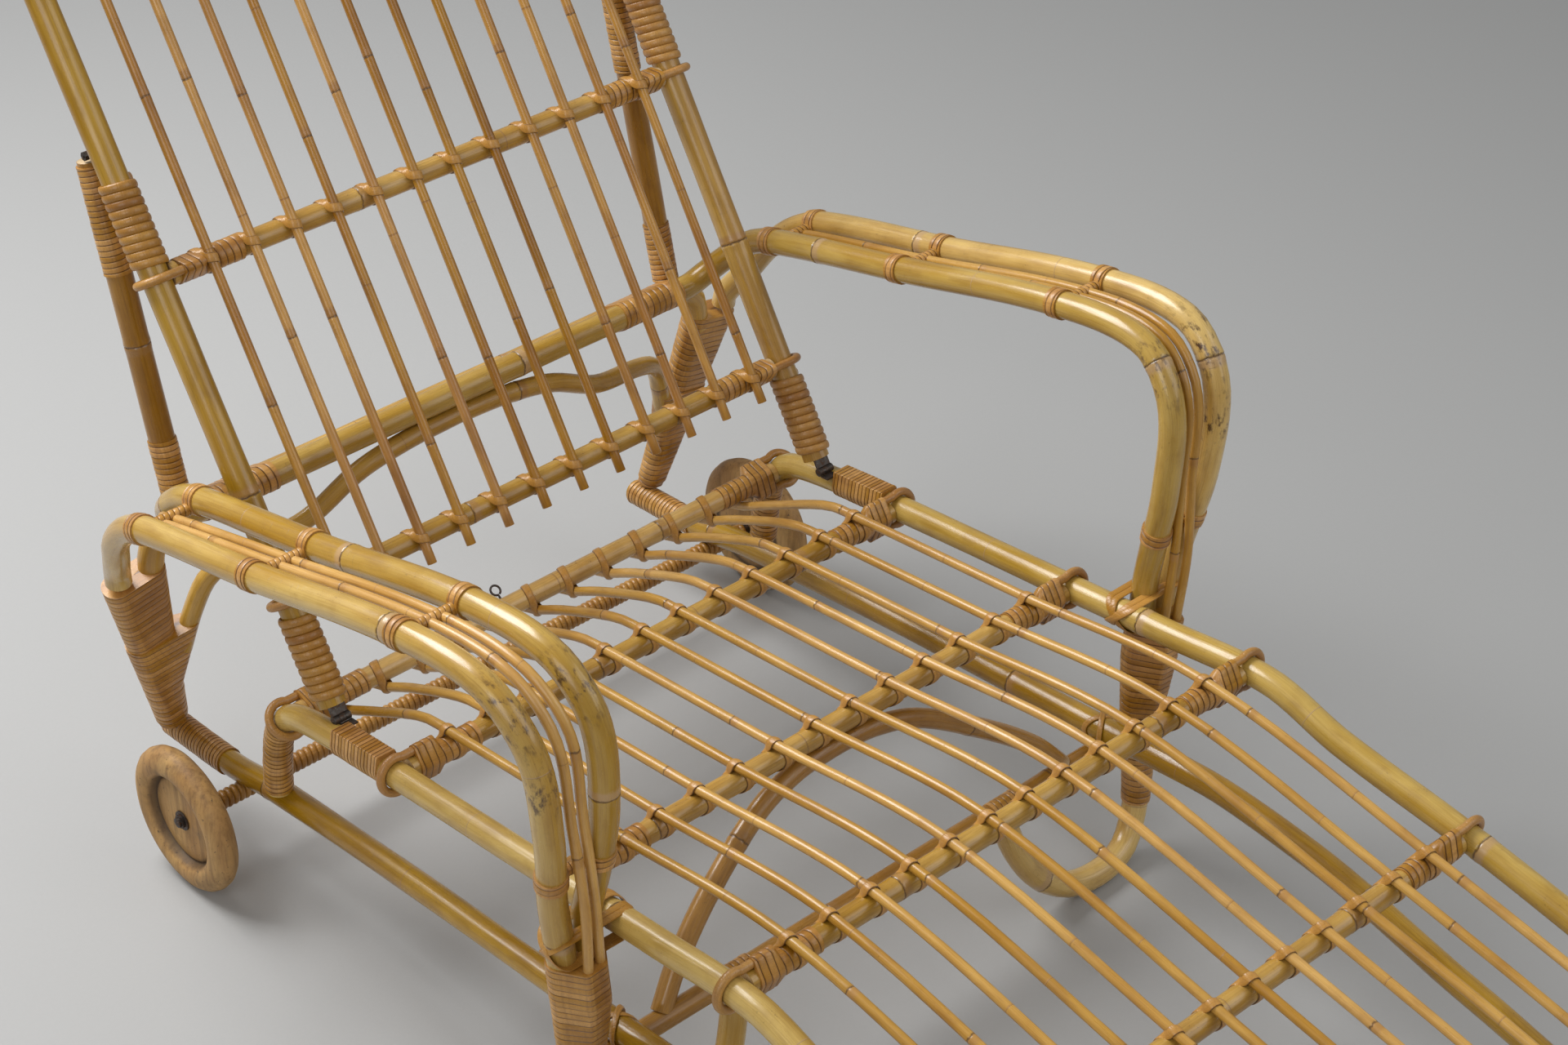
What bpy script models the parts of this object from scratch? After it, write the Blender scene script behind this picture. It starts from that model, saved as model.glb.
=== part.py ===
# Reclining cane lounge chair on two wheels, built piece by piece.
# Metres. x runs across the chair, y from the foot end to the head, z up from the floor.
import math

import bmesh
import bpy
from mathutils import Vector

# The chair is drawn with y = 0 at the second seat bar, then moved so that its box is centred.
centre_shift = 0.35005

gap = 0.0003
seat_gap = 0.0005
wrap_thick = 0.0013
strip_width = 0.0045
strip_slant = 0.35
lash_play = 0.0008
lash_thick = 0.0015

rail_r = 0.0125
bar_r = 0.0105
slat_r = 0.004
reed_r = 0.004
arch_r = 0.0095
thin_r = 0.0045
stile_r = 0.013
prop_r = 0.012

seat_rail_x = 0.300
lower_rail_x = 0.292
stile_x = 0.290
wrap_reach = 0.0847
loop_reach = 0.0395

cane_sides = 10
slat_count = 12
slat_pitch = 0.044

axle_wrap_r = 0.011667
wheel_x = 0.357
wheel_half = 0.014
axle_y = 0.27
axle_r = 0.005

across = Vector((1, 0, 0))
upward = Vector((0, 0, 1))
along = Vector((0, 1, 0))

# Seat rail side view, from the foot of the rear post over the seat to the floor under the nose.
seat_side = (
    (0.195, 0.1245), (0.190, 0.165), (0.180, 0.203), (0.158, 0.229), (0.116, 0.242), (0.005, 0.257),
    (-0.222, 0.282), (-0.342, 0.295), (-0.460, 0.3065), (-0.539, 0.287), (-0.676, 0.268),
    (-0.782, 0.249), (-0.900, 0.225), (-1.010, 0.197), (-1.110, 0.164), (-1.170, 0.136),
    (-1.204, 0.096), (-1.203, 0.050), (-1.165, 0.0185), (-1.120, 0.0108), (-1.080, 0.0195))
lower_side = (
    (0.390, 0.087), (0.281, 0.095), (0.213, 0.108), (-0.011, 0.133), (-0.266, 0.1545),
    (-0.371, 0.165), (-0.430, 0.168), (-0.525, 0.160), (-0.579, 0.151), (-0.684, 0.125),
    (-0.746, 0.112), (-0.850, 0.086), (-0.950, 0.058), (-1.0768, 0.0206))
bar_y = (0.1675, 0.0, -0.226, -0.434, -0.676, -0.900, -1.100)

# Outer arm cane: hook at the rear, arm, front leg, foot loop, inner upright.
outer_arm = (
    (0.3625, 0.3235, 0.3198), (0.3635, 0.3215, 0.3320), (0.374, 0.300, 0.363), (0.384, 0.277, 0.398),
    (0.389, 0.246, 0.429),
    (0.392, 0.205, 0.450), (0.393, 0.043, 0.490), (0.392, -0.161, 0.543), (0.390, -0.262, 0.549),
    (0.383, -0.305, 0.506), (0.374, -0.309, 0.421), (0.364, -0.296, 0.345), (0.3550, -0.290, 0.290),
    (0.347, -0.288, 0.200), (0.338, -0.290, 0.090), (0.331, -0.294, 0.046), (0.309, -0.303, 0.0185),
    (0.273, -0.309, 0.0110), (0.228, -0.307, 0.0200), (0.194, -0.298, 0.0450), (0.174, -0.288, 0.0800),
    (0.164, -0.281, 0.1215))
# Inner arm cane, from the leg wrap over the arm and round into the bar across the rear.
inner_arm = (
    (0.3265, -0.288, 0.2646), (0.3265, -0.290, 0.310), (0.322, -0.300, 0.360), (0.320, -0.310, 0.424),
    (0.323, -0.306, 0.508), (0.329, -0.266, 0.550), (0.331, -0.165, 0.545), (0.333, 0.045, 0.491),
    (0.332, 0.205, 0.452), (0.331, 0.245, 0.436), (0.327, 0.280, 0.405), (0.312, 0.296, 0.385),
    (0.292, 0.300, 0.376), (0.200, 0.300, 0.376))
thin_arms = (
    ((0.358, 0.237, 0.433), (0.360, 0.205, 0.446), (0.356, 0.043, 0.488), (0.355, -0.161, 0.542),
     (0.353, -0.262, 0.547), (0.346, -0.304, 0.507), (0.341, -0.310, 0.421), (0.336, -0.313, 0.345),
     (0.331, -0.311, 0.2640)),
    ((0.370, 0.237, 0.433), (0.371, 0.205, 0.446), (0.368, 0.043, 0.488), (0.367, -0.161, 0.542),
     (0.365, -0.262, 0.547), (0.359, -0.304, 0.507), (0.353, -0.311, 0.421), (0.349, -0.317, 0.345),
     (0.345, -0.313, 0.2640)))
band_r = rail_r / math.cos(math.pi / 8)
# A rail has flats at its top and bottom, this far from its middle.
rail_flat = rail_r * math.cos(math.pi / cane_sides)
arm_cross_y = (0.216, 0.041, -0.163)
leg_wrap_steps = ((0.2620, 1.0), (0.2300, 1.0), (0.1600, 0.62), (0.1000, 0.20), (0.0560, 0.0))

rear_bar = Vector((0, 0.300, 0.376))
hoop_offset = Vector((0, 0.0216, -0.0134))
cross_bar_y = -0.280


def side_path(profile, x):
    return [Vector((x, y, z)) for y, z in profile]


def flip(points, side):
    return [Vector((p[0] * side, p[1], p[2])) for p in points]


def spline(control, turn=20.0, reach=0.12):
    """Smooth path through the control points, thinned where it runs straight."""
    pts = [Vector(p) for p in control]
    ends = [pts[0] * 2 - pts[1]] + pts + [pts[-1] * 2 - pts[-2]]
    dense = []
    for a, b, c, d in zip(ends, ends[1:], ends[2:], ends[3:]):
        steps = 10
        span = (c - b).length
        tb = (c - a) * (span / ((c - b).length + (b - a).length))
        tc = (d - b) * (span / ((d - c).length + (c - b).length))
        for k in range(steps):
            t = k / steps
            h00 = 2 * t ** 3 - 3 * t ** 2 + 1
            h10 = t ** 3 - 2 * t ** 2 + t
            h01 = 3 * t ** 2 - 2 * t ** 3
            h11 = t ** 3 - t ** 2
            dense.append(b * h00 + tb * h10 + c * h01 + tc * h11)
    dense.append(pts[-1])
    kept = [dense[0]]
    heading = (dense[1] - dense[0]).normalized()
    for before, here, after in zip(dense, dense[1:], dense[2:]):
        ahead = (after - here).normalized()
        far = (here - kept[-1]).length
        if math.degrees(heading.angle(ahead)) > turn or far > reach:
            kept.append(here)
            heading = ahead
    if (kept[-1] - dense[-1]).length < 0.006:
        kept.pop()
    kept.append(dense[-1])
    return kept


def at(path, axis, value):
    """First point of a path where one of its coordinates has a value."""
    for a, b in zip(path, path[1:]):
        if (a[axis] - value) * (b[axis] - value) <= 0 and a[axis] != b[axis]:
            return a.lerp(b, (value - a[axis]) / (b[axis] - a[axis]))
    raise ValueError(value)


def at_y(path, y):
    return at(path, 1, y)


def frames(path, hint):
    """A pair of section axes at each point, carried along the path without twist."""
    out = []
    n1 = Vector(hint)
    for i, p in enumerate(path):
        before = path[max(i - 1, 0)]
        after = path[min(i + 1, len(path) - 1)]
        if 0 < i < len(path) - 1:
            t = ((p - before).normalized() + (after - p).normalized()).normalized()
        else:
            t = (after - before).normalized()
        n1 = (n1 - t * n1.dot(t)).normalized()
        out.append((p, n1.copy(), t.cross(n1).normalized()))
    return out


def circle(radius, sides):
    return [(radius * math.cos(math.tau * k / sides), radius * math.sin(math.tau * k / sides))
            for k in range(sides)]


def round_about(discs, grow, sides=cane_sides):
    """Even-sided outline that stands clear of every disc (u, v, radius) by the amount grow."""
    step = math.tau / sides
    reach = []
    for k in range(sides):
        a = step * (k + 0.5)
        reach.append(max(u * math.cos(a) + v * math.sin(a) + r for u, v, r in discs) + grow)
    out = []
    for k in range(sides):
        a = step * (k - 0.5)
        b = step * (k + 0.5)
        ra, rb = reach[k - 1], reach[k]
        det = math.sin(b - a)
        out.append(((ra * math.sin(b) - rb * math.sin(a)) / det,
                    (rb * math.cos(a) - ra * math.cos(b)) / det))
    return out


def ring(frame, section):
    p, n1, n2 = frame
    return [p + n1 * u + n2 * v for u, v in section]


def loft(rings, closed=False):
    count = len(rings[0])
    verts = [v for r in rings for v in r]
    faces = []
    last = len(rings) if closed else len(rings) - 1
    for i in range(last):
        j = (i + 1) % len(rings)
        for k in range(count):
            m = (k + 1) % count
            faces.append((i * count + k, i * count + m, j * count + m, j * count + k))
    if not closed:
        faces.append(tuple(range(count - 1, -1, -1)))
        faces.append(tuple((len(rings) - 1) * count + k for k in range(count)))
    return verts, faces


def shell(inner, outer):
    """Hollow sleeve between two sets of rings."""
    verts, faces = loft(outer)
    faces = faces[:-2]
    base = len(verts)
    more, inside = loft(inner)
    verts = verts + more
    faces += [tuple(base + k for k in reversed(f)) for f in inside[:-2]]
    count = len(inner[0])
    end = (len(inner) - 1) * count
    for k in range(count):
        m = (k + 1) % count
        faces.append((k, base + k, base + m, m))
        faces.append((end + k, end + m, base + end + m, base + end + k))
    return verts, faces


def tube(path, radius, sides=cane_sides, hint=across):
    section = circle(radius, sides)
    return loft([ring(f, section) for f in frames(path, hint)])


def rod(a, b, radius, sides=cane_sides, hint=None):
    return tube([Vector(a), Vector(b)], radius, sides, hint or upward)


def length_to(path, point):
    """Distance along the path to the place nearest a point."""
    best = (1e9, 0.0)
    run = 0.0
    for a, b in zip(path, path[1:]):
        d = b - a
        t = max(0.0, min(1.0, (point - a).dot(d) / d.length_squared))
        far = (a + d * t - point).length
        if far < best[0]:
            best = (far, run + d.length * t)
        run += d.length
    return best[1]


def rings_between(path, section, start, end, hint=across):
    """Rings of a tube between two distances, lying on the same facets as the tube."""
    full = [ring(f, section) for f in frames(path, hint)]
    runs = [0.0]
    for a, b in zip(path, path[1:]):
        runs.append(runs[-1] + (b - a).length)
    stops = [start] + [s for s in runs if start + 0.002 < s < end - 0.002] + [end]
    out = []
    for s in stops:
        i = max(k for k in range(len(runs) - 1) if runs[k] <= s + 1e-9)
        t = (s - runs[i]) / (runs[i + 1] - runs[i])
        out.append([a.lerp(b, t) for a, b in zip(full[i], full[i + 1])])
    return out


def wound(path, radius, start, end, thick=wrap_thick, sides=cane_sides, hint=across):
    """Flat strip wound on a cane, as a solid that is joined to it."""
    return loft(rings_between(path, circle(radius + thick, sides), start, end, hint))


def sleeve(path, radius, start, end, thick=wrap_thick, sides=cane_sides, hint=across):
    inner = rings_between(path, circle(radius + gap, sides), start, end, hint)
    outer = rings_between(path, circle(radius + gap + thick, sides), start, end, hint)
    return shell(inner, outer)


def sleeve_near(path, radius, centre, width, **extra):
    middle = length_to(path, Vector(centre))
    return sleeve(path, radius, middle - width / 2, middle + width / 2, **extra)


def box(a, b):
    (x0, y0, z0), (x1, y1, z1) = a, b
    low = [Vector((x0, y0, z0)), Vector((x1, y0, z0)), Vector((x1, y1, z0)), Vector((x0, y1, z0))]
    high = [Vector((v.x, v.y, z1)) for v in low]
    return loft([low, high])


def slab(origin, u, v, w, u0, u1, v0, v1, half):
    """Flat plate in the plane of u and v, of the given half thickness along w."""
    near = [origin + u * a + v * b - w * half for a, b in ((u0, v0), (u1, v0), (u1, v1), (u0, v1))]
    return loft([near, [p + w * (2 * half) for p in near]])


def material(name, colour, rough, metallic=0.0):
    made = bpy.data.materials.new(name)
    made.use_nodes = True
    shader = made.node_tree.nodes["Principled BSDF"]
    shader.inputs["Base Color"].default_value = (*colour, 1)
    shader.inputs["Roughness"].default_value = rough
    shader.inputs["Metallic"].default_value = metallic
    made.diffuse_color = (*colour, 1)
    return made


def raw_object(name, bodies, origin):
    work = bmesh.new()
    for verts, faces in bodies:
        made = [work.verts.new(Vector(v) - Vector(origin)) for v in verts]
        for f in faces:
            work.faces.new([made[k] for k in f])
    bmesh.ops.recalc_face_normals(work, faces=work.faces)
    mesh = bpy.data.meshes.new(name)
    work.to_mesh(mesh)
    work.free()
    obj = bpy.data.objects.new(name, mesh)
    obj.location = origin
    bpy.context.scene.collection.objects.link(obj)
    return obj


def piece(name, bodies, look, origin=(0, 0, 0), smooth=True):
    """One named object; several overlapping bodies are joined into one closed body."""
    obj = raw_object(name, bodies[:1], origin)
    if len(bodies) > 1:
        rest = raw_object(f"{name}_rest", bodies[1:], origin)
        join = carve(obj, rest, "UNION")
        join.use_self = True
        bpy.context.view_layer.update()
        seen = obj.evaluated_get(bpy.context.evaluated_depsgraph_get())
        joined = bpy.data.meshes.new_from_object(seen)
        obj.modifiers.clear()
        obj.data = joined
        bpy.data.objects.remove(rest)
    mesh = obj.data
    mesh.name = name
    mesh.materials.clear()
    mesh.materials.append(material(f"{name}_look", *look))
    if smooth:
        mesh.shade_smooth()
        mesh.set_sharp_from_angle(angle=math.radians(40))
    return obj


def cutter(name, bodies):
    obj = piece(name, bodies, cane, smooth=False)
    obj.hide_render = True
    obj.display_type = "WIRE"
    return obj


def carve(target, tool, operation="DIFFERENCE"):
    mod = target.modifiers.new(tool.name, "BOOLEAN")
    mod.operation = operation
    mod.solver = "EXACT"
    mod.object = tool
    return mod


cane = ((0.66, 0.47, 0.17), 0.32)
cane_dark = ((0.55, 0.34, 0.10), 0.36)
slat_look = ((0.62, 0.36, 0.12), 0.42)
reed = ((0.58, 0.33, 0.12), 0.40)
timber = ((0.45, 0.31, 0.18), 0.60)
steel = ((0.10, 0.09, 0.08), 0.45, 0.9)


def end_loop(place, inward, up, member_r):
    """Reed bent round a rail, its two legs lying along the bar; the bar runs from place inward."""
    half_turn = math.pi / 8
    ring_r = (member_r + reed_r + gap) / math.cos(half_turn)
    leg = bar_r + reed_r
    path = [place + inward * loop_reach + up * leg]
    for k in range(6):
        a = half_turn * (3 + 2 * k)
        path.append(place + inward * (ring_r * math.cos(a)) + up * (ring_r * math.sin(a)))
    path.append(place + inward * loop_reach - up * leg)
    return tube(path, reed_r, 5, inward.cross(up))


def end_wrap(place, inward, up):
    """Flat strip wound over the end of a bar and the loop legs, thinner past the legs."""
    side = inward.cross(up)
    tall = bar_r + 2 * reed_r + wrap_thick
    wide = bar_r + wrap_thick
    rows = []
    for run, high in ((0.0205, tall), (loop_reach + 0.002, tall),
                      (loop_reach + 0.0065, wide), (wrap_reach, wide)):
        if high > wide:
            section = [(wide, 0.006), (0.0058, high), (-0.0058, high), (-wide, 0.006),
                       (-wide, -0.006), (-0.0058, -high), (0.0058, -high), (wide, -0.006)]
        else:
            corner = wide * math.tan(math.pi / 8)
            section = [(wide, corner), (corner, wide), (-corner, wide), (-wide, corner),
                       (-wide, -corner), (-corner, -wide), (corner, -wide), (wide, -corner)]
        rows.append([place + inward * run + side * u + up * v for u, v in section])
    return loft(rows)


def lashing(centre, lengthwise, up, lift, turn):
    """Strip laid slantwise over one slat, its two ends let into the bar below."""
    flat = slat_r * math.cos(math.pi / 6)
    high = flat + lash_play
    low = bar_r - 0.0016 - lift
    under = [(-0.0074, low), (-0.0028, high), (0.0028, high), (0.0074, low)]
    over = [(-0.0090, low), (-0.0037, high + lash_thick), (0.0037, high + lash_thick), (0.0090, low)]
    rows = []
    for (u0, v0), (u1, v1) in zip(under, over):
        row = []
        for u, v, edge in ((u0, v0, -1), (u1, v1, 0), (u0, v0, 1)):
            slide = u * strip_slant * turn + edge * strip_width / 2
            row.append(centre + across * u + up * v + lengthwise * slide)
        rows.append(row)
    return loft(rows)


def bar_strip(centre, turn):
    """Strip laid slantwise over the top of a bar."""
    rows = []
    for degrees in (10, 63, 117, 170):
        a = math.radians(degrees)
        row = []
        for r, edge in ((bar_r - 0.0015, -1), (bar_r + 0.0022, 0), (bar_r - 0.0015, 1)):
            slide = math.cos(a) * 0.006 * turn + edge * strip_width / 2
            row.append(centre + along * (r * math.cos(a)) + upward * (r * math.sin(a)) + across * slide)
        rows.append(row)
    return loft(rows)


def screw_eye(foot, radius, out):
    """Small wire eye whose shank enters the wood."""
    away = out.normalized()
    eye_r = 0.0050
    centre = foot + away * (radius + 0.004 + eye_r)
    path = [foot + away * (radius - 0.003)]
    for k in range(9):
        a = math.radians(180 + 36 * k)
        path.append(centre + away * (eye_r * math.cos(a)) + across * (eye_r * math.sin(a)))
    return tube(path, 0.0011, 6, away.cross(across))


def winding(base, axis, start, end, core_r):
    """Reed wound round a stile as one unbroken tube."""
    wound_r = 0.0038
    points_per_turn = 8
    turns = int((end - start - 2 * wound_r) / (2 * wound_r + 0.0008))
    pitch = (end - start - 2 * wound_r) / turns
    radius = (core_r + wound_r + 0.0004) / math.cos(math.pi / points_per_turn)
    side = across
    other = axis.cross(side)
    path = []
    for k in range(turns * points_per_turn + 1):
        a = math.tau * k / points_per_turn
        run = start + wound_r + pitch * k / points_per_turn
        path.append(base + axis * run + side * (radius * math.cos(a)) + other * (radius * math.sin(a)))
    print("winding turns", turns, "gap to itself mm", round((pitch - 2 * wound_r) * 1000, 2),
          "gap to stile mm", 0.4)
    return tube(path, wound_r, 5, axis)


for old in list(bpy.data.objects):
    bpy.data.objects.remove(old)
for old in list(bpy.data.meshes):
    bpy.data.meshes.remove(old)

seat_line = spline(side_path(seat_side, seat_rail_x), reach=0.13)
lower_line = spline(side_path(lower_side, lower_rail_x), reach=0.13)
past_post = next(k for k, p in enumerate(seat_line) if p.z > 0.19)
seat_top = seat_line[past_post:]
sides = (("left", -1), ("right", 1))
floor_cut = cutter("floor_cut", [box((-0.5, -1.35, -0.02), (0.5, -0.9, 0.0))])
leg_cut = cutter("leg_cut", [box((-0.5, -0.4, -0.02), (0.5, -0.2, 0.0))])


def path_length(path):
    return sum((b - a).length for a, b in zip(path, path[1:]))


for label, side in sides:
    line = flip(seat_line, side)
    total = path_length(line)
    rail = piece(f"seat_rail_{label}", [tube(line, rail_r), wound(line, rail_r, 0.004, 0.088),
                                        wound(line, rail_r, total - 0.040, total - 0.0004)], cane)
    carve(rail, floor_cut)
    line = flip(lower_line, side)
    piece(f"lower_rail_{label}", [tube(line, rail_r), wound(line, rail_r, 0.003, 0.098)], cane)


def slope_at(path, y):
    """Direction of a side path toward the foot, and the upward normal to it."""
    run = (at_y(path, y - 0.012) - at_y(path, y + 0.012)).normalized()
    return run, Vector((0, run.z, -run.y)).normalized()


# Seat bars between the rails, each with its end loops, end wraps and slat lashings.
bar_at = [at_y(seat_top, y) for y in bar_y]
bar_ups = [slope_at(seat_top, y)[1] for y in bar_y]
bar_runs = [slope_at(seat_top, y)[0] for y in bar_y]
bar_end = seat_rail_x - rail_r - gap
slat_x = [slat_pitch * (k - (slat_count - 1) / 2) for k in range(slat_count)]
flat = slat_r * math.cos(math.pi / 6)


def slat_lift(k):
    """Height of a slat's centre over a bar's; the outermost slats lie on the end wraps."""
    return bar_r + flat + gap + (wrap_thick + 0.0006 if k in (0, slat_count - 1) else 0.0)


def bound_bar(centre, up, half_length, member_x, member_r):
    """A bar with its end loops round the side members and the wraps over their legs."""
    middle = Vector((0, centre.y, centre.z))
    bodies = [rod(middle - across * half_length, middle + across * half_length, bar_r, 8, up)]
    for _, side in sides:
        hub = middle + across * (member_x * side)
        bodies.append(end_wrap(hub, across * -side, up))
        bodies.append(end_loop(hub, across * -side, up, member_r))
    return bodies


for n, place in enumerate(bar_at):
    bodies = bound_bar(place, bar_ups[n], bar_end, seat_rail_x, rail_r)
    for k, x in enumerate(slat_x):
        centre = Vector((x, place.y, place.z))
        if n:
            lift = slat_lift(k)
            slant = 1 if k % 2 else -1
            bodies.append(lashing(centre + bar_ups[n] * lift, bar_runs[n], bar_ups[n], lift, slant))
        elif 0 < k < slat_count - 1:
            bodies.append(bar_strip(centre, 1))
    if not n:
        bodies.append(screw_eye(Vector((-0.050, place.y, place.z)), bar_r, Vector((0, 0.80, 0.60))))
    piece(f"seat_bar_{n + 1}", bodies, cane)

for k, x in enumerate(slat_x):
    drop = bar_r + flat + gap + (0.0040 if k in (0, slat_count - 1) else 0.0006)
    under = bar_at[0].z - drop
    path = [Vector((x, bar_y[0] + 0.024, under - 0.004)), Vector((x, bar_y[0], under)),
            Vector((x, 0.118, under + 0.018)), Vector((x, 0.036, bar_at[1].z + slat_lift(k) - 0.0065))]
    for place, up in zip(bar_at[1:], bar_ups[1:]):
        path.append(Vector((x, place.y, place.z)) + up * slat_lift(k))
    path.append(path[-1] + bar_runs[-1] * 0.024)
    piece(f"seat_slat_{k + 1:02d}", [tube(path, slat_r, 6)], slat_look)

# Front cross bar under the lower rails, the arch up to the third bar, crossed lashings and foot straps.
lower_front = at_y(lower_line, cross_bar_y)
cross_z = lower_front.z - rail_r - bar_r - gap - 0.0006
cross_ends = (Vector((-0.310, cross_bar_y, cross_z)), Vector((0.310, cross_bar_y, cross_z)))
crown_z = bar_at[2].z - bar_r - arch_r - gap
arch_half = spline([(0.0, -0.228, crown_z), (0.045, -0.229, crown_z - 0.003),
                    (0.095, -0.235, crown_z - 0.016), (0.165, -0.250, 0.205),
                    (0.215, -0.266, 0.169), (0.243, -0.277, cross_z + 0.006)])
front_arch = flip(arch_half, -1)[::-1] + arch_half[1:]
bodies = [rod(*cross_ends, bar_r, 8), tube(front_arch, arch_r, 8, along)]
for label, side in sides:
    for turn in (-1, 1):
        rows = []
        for degrees, drop in ((-54, 0.0080), (-54, 0), (-10, 0), (35, 0), (90, 0),
                              (145, 0), (190, 0), (234, 0), (234, 0.0080)):
            a = math.radians(degrees)
            row = []
            inner_r = rail_r + 0.0022 + (0.0016 if turn > 0 else 0.0)
            for r, edge in ((inner_r, -1), (inner_r + 0.0014, -1), (inner_r + 0.0014, 1), (inner_r, 1)):
                slide = math.cos(a) * 0.008 * turn + edge * strip_width / 2
                row.append(Vector((lower_rail_x * side, cross_bar_y, lower_front.z - drop))
                           + across * (r * math.cos(a)) + upward * (r * math.sin(a)) + along * slide)
            rows.append(row)
        bodies.append(loft(rows))
    x = outer_arm[-1][0] * side
    strap = [Vector((x - 0.018, cross_bar_y, cross_z)), Vector((x + 0.018, cross_bar_y, cross_z))]
    bodies.append(tube(strap, bar_r + wrap_thick, 8, upward))
piece("front_cross_bar", bodies, cane_dark)

# Rear bar and inner arm canes in one length; each outer arm cane runs on as front leg and foot loop.
inner_half = spline(inner_arm)
inner_line = flip(inner_half, -1) + inner_half[::-1]
piece("arm_inner_cane", [tube(inner_line, rail_r)], cane)
outer_line = spline(outer_arm[:-1] + ((outer_arm[-1][0], outer_arm[-1][1], cross_z - bar_r - 0.0062),))
for label, side in sides:
    outer = flip(outer_line, side)
    leg = outer[next(k for k, p in enumerate(outer) if p.y < -0.27):]
    rows = []
    for z, share in leg_wrap_steps:
        frame = (at(leg, 2, z), across, along)
        beside = -0.0270 * side * share
        ahead = -0.0225 * share
        discs = [(0, 0, rail_r), (beside, 0, rail_r),
                 (beside * 0.7, ahead, thin_r), (beside * 0.25, ahead, thin_r)]
        rows.append(ring(frame, round_about(discs, wrap_thick)))
    arm = piece(f"arm_outer_{label}", [tube(outer, rail_r), loft(rows)], cane)
    carve(arm, leg_cut)

# Thin canes between the arm canes, on crosspieces that are banded to both thick canes.
thin_lines = [spline(path, turn=26) for path in thin_arms]
for label, side in sides:
    outer = flip(outer_line, side)
    inner = flip(inner_half, side)
    bodies = [tube(flip(path, side), thin_r, 6) for path in thin_lines]
    hook = next(k for k, p in enumerate(outer) if p.z > 0.415)
    for y in arm_cross_y:
        o = at_y(outer[hook:], y)
        i = at_y([p for p in inner if p.z > 0.430], y)
        low = min(at_y([p for p in path if p.z > 0.40], y).z for path in thin_lines)
        z = (low + (o.z + i.z) / 2) / 2
        start = Vector((o.x - side * (band_r + 0.0006), y, z))
        end = Vector((i.x + side * (band_r + 0.0006), y, z))
        bodies.append(rod(start, end, reed_r, 6))
        bodies.append(sleeve_near(outer, band_r, o, 0.012, sides=8))
        bodies.append(sleeve_near(inner, band_r, i, 0.012, sides=8))
    piece(f"arm_fill_{label}", bodies, slat_look)

# Rear hoop behind the rear bar and the rear arch below it, gathered into tapered fans at both ends.
hoop_at = rear_bar + hoop_offset
hoop_half = spline([(0.0, hoop_at.y, hoop_at.z), (0.150, hoop_at.y, hoop_at.z),
                    (0.285, hoop_at.y, hoop_at.z), (0.306, 0.3225, 0.3570),
                    (0.3230, 0.3250, 0.3400), (0.3275, 0.3270, 0.3050)])
rear_hoop = flip(hoop_half, -1)[::-1] + hoop_half[1:]
back_arch_half = spline([(0.0, 0.297, 0.3535), (0.060, 0.297, 0.3505), (0.115, 0.298, 0.3400),
                         (0.175, 0.301, 0.3120), (0.235, 0.312, 0.3000), (0.268, 0.325, 0.2820),
                         (0.283, 0.334, 0.2500), (0.296, 0.3440, 0.2020)])
rear_arch = flip(back_arch_half, -1)[::-1] + back_arch_half[1:]
bodies = [tube(rear_hoop, rail_r, hint=along)]
lower_rear = at_y(lower_line, 0.375)
fan_top = 0.3170
fan_low = lower_rear.z + rail_r + wrap_thick + gap + 0.0016
for label, side in sides:
    rows = []
    for share in (0.0, 0.33, 0.66, 1.0):
        z = fan_top + (fan_low - fan_top) * share
        x = (0.3455 + (0.300 - 0.3455) * share) * side
        y = 0.3270 + (0.3730 - 0.3270) * share
        reach = 0.0170 * (1 - share) + 0.0030 * share
        r = 0.0142 * (1 - share) + 0.0105 * share
        fan_section = round_about([(-reach, 0, r), (reach, 0, r)], 0.0)
        rows.append(ring((Vector((x, y, z)), across, along), fan_section))
    bodies.append(loft(rows))
bodies.append(tube(rear_arch, arch_r, 8, along))
bodies.append(screw_eye(Vector((0.170, hoop_at.y, hoop_at.z)), rail_r, Vector((0, 0.35, -0.94))))
piece("rear_hoop", bodies, cane)

# Wheels on a steel rod, wound with strip up to the lower rails; they reach down to the floor.
wheel_r = at_y(lower_line, axle_y).z - rail_flat - gap - axle_wrap_r
print("wheel radius", round(wheel_r, 6))
rod_end = wheel_x + wheel_half + 0.0085
hub_line = [Vector((-rod_end, axle_y, wheel_r)), Vector((rod_end, axle_y, wheel_r))]
bodies = [tube(hub_line, axle_r, hint=upward)]
collars = [(-0.3426, 0.3426, axle_wrap_r)]
for side in (-1, 1):
    collars += [(0.3713 * side, 0.3733 * side, 0.0110), (0.3732 * side, 0.3780 * side, 0.0080)]
for x0, x1, r in collars:
    bodies.append(tube([Vector((x0, axle_y, wheel_r)), Vector((x1, axle_y, wheel_r))], r, hint=upward))
piece("axle", bodies, reed)

wheel_bore = 0.00507
wheel_profile = (
    (wheel_bore, -0.0125), (wheel_r - 0.0125, -0.0138), (wheel_r - 0.0020, -0.0080),
    (wheel_r, 0.0), (wheel_r - 0.0020, 0.0080), (wheel_r - 0.0125, 0.0138),
    (wheel_r - 0.0265, 0.0125), (wheel_r - 0.0295, 0.0085),
    (0.018, 0.0085), (0.016, 0.0135), (wheel_bore, 0.0135))
for label, side in sides:
    hub = Vector((wheel_x * side, axle_y, wheel_r))
    steps = 24
    rows = []
    for k in range(steps):
        a = math.tau * k / steps
        out = along * math.sin(a) - upward * math.cos(a)
        rows.append([hub + out * r + across * (x * side) for r, x in wheel_profile])
    piece(f"wheel_{label}", [loft(rows, closed=True)], timber, origin=hub)

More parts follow.
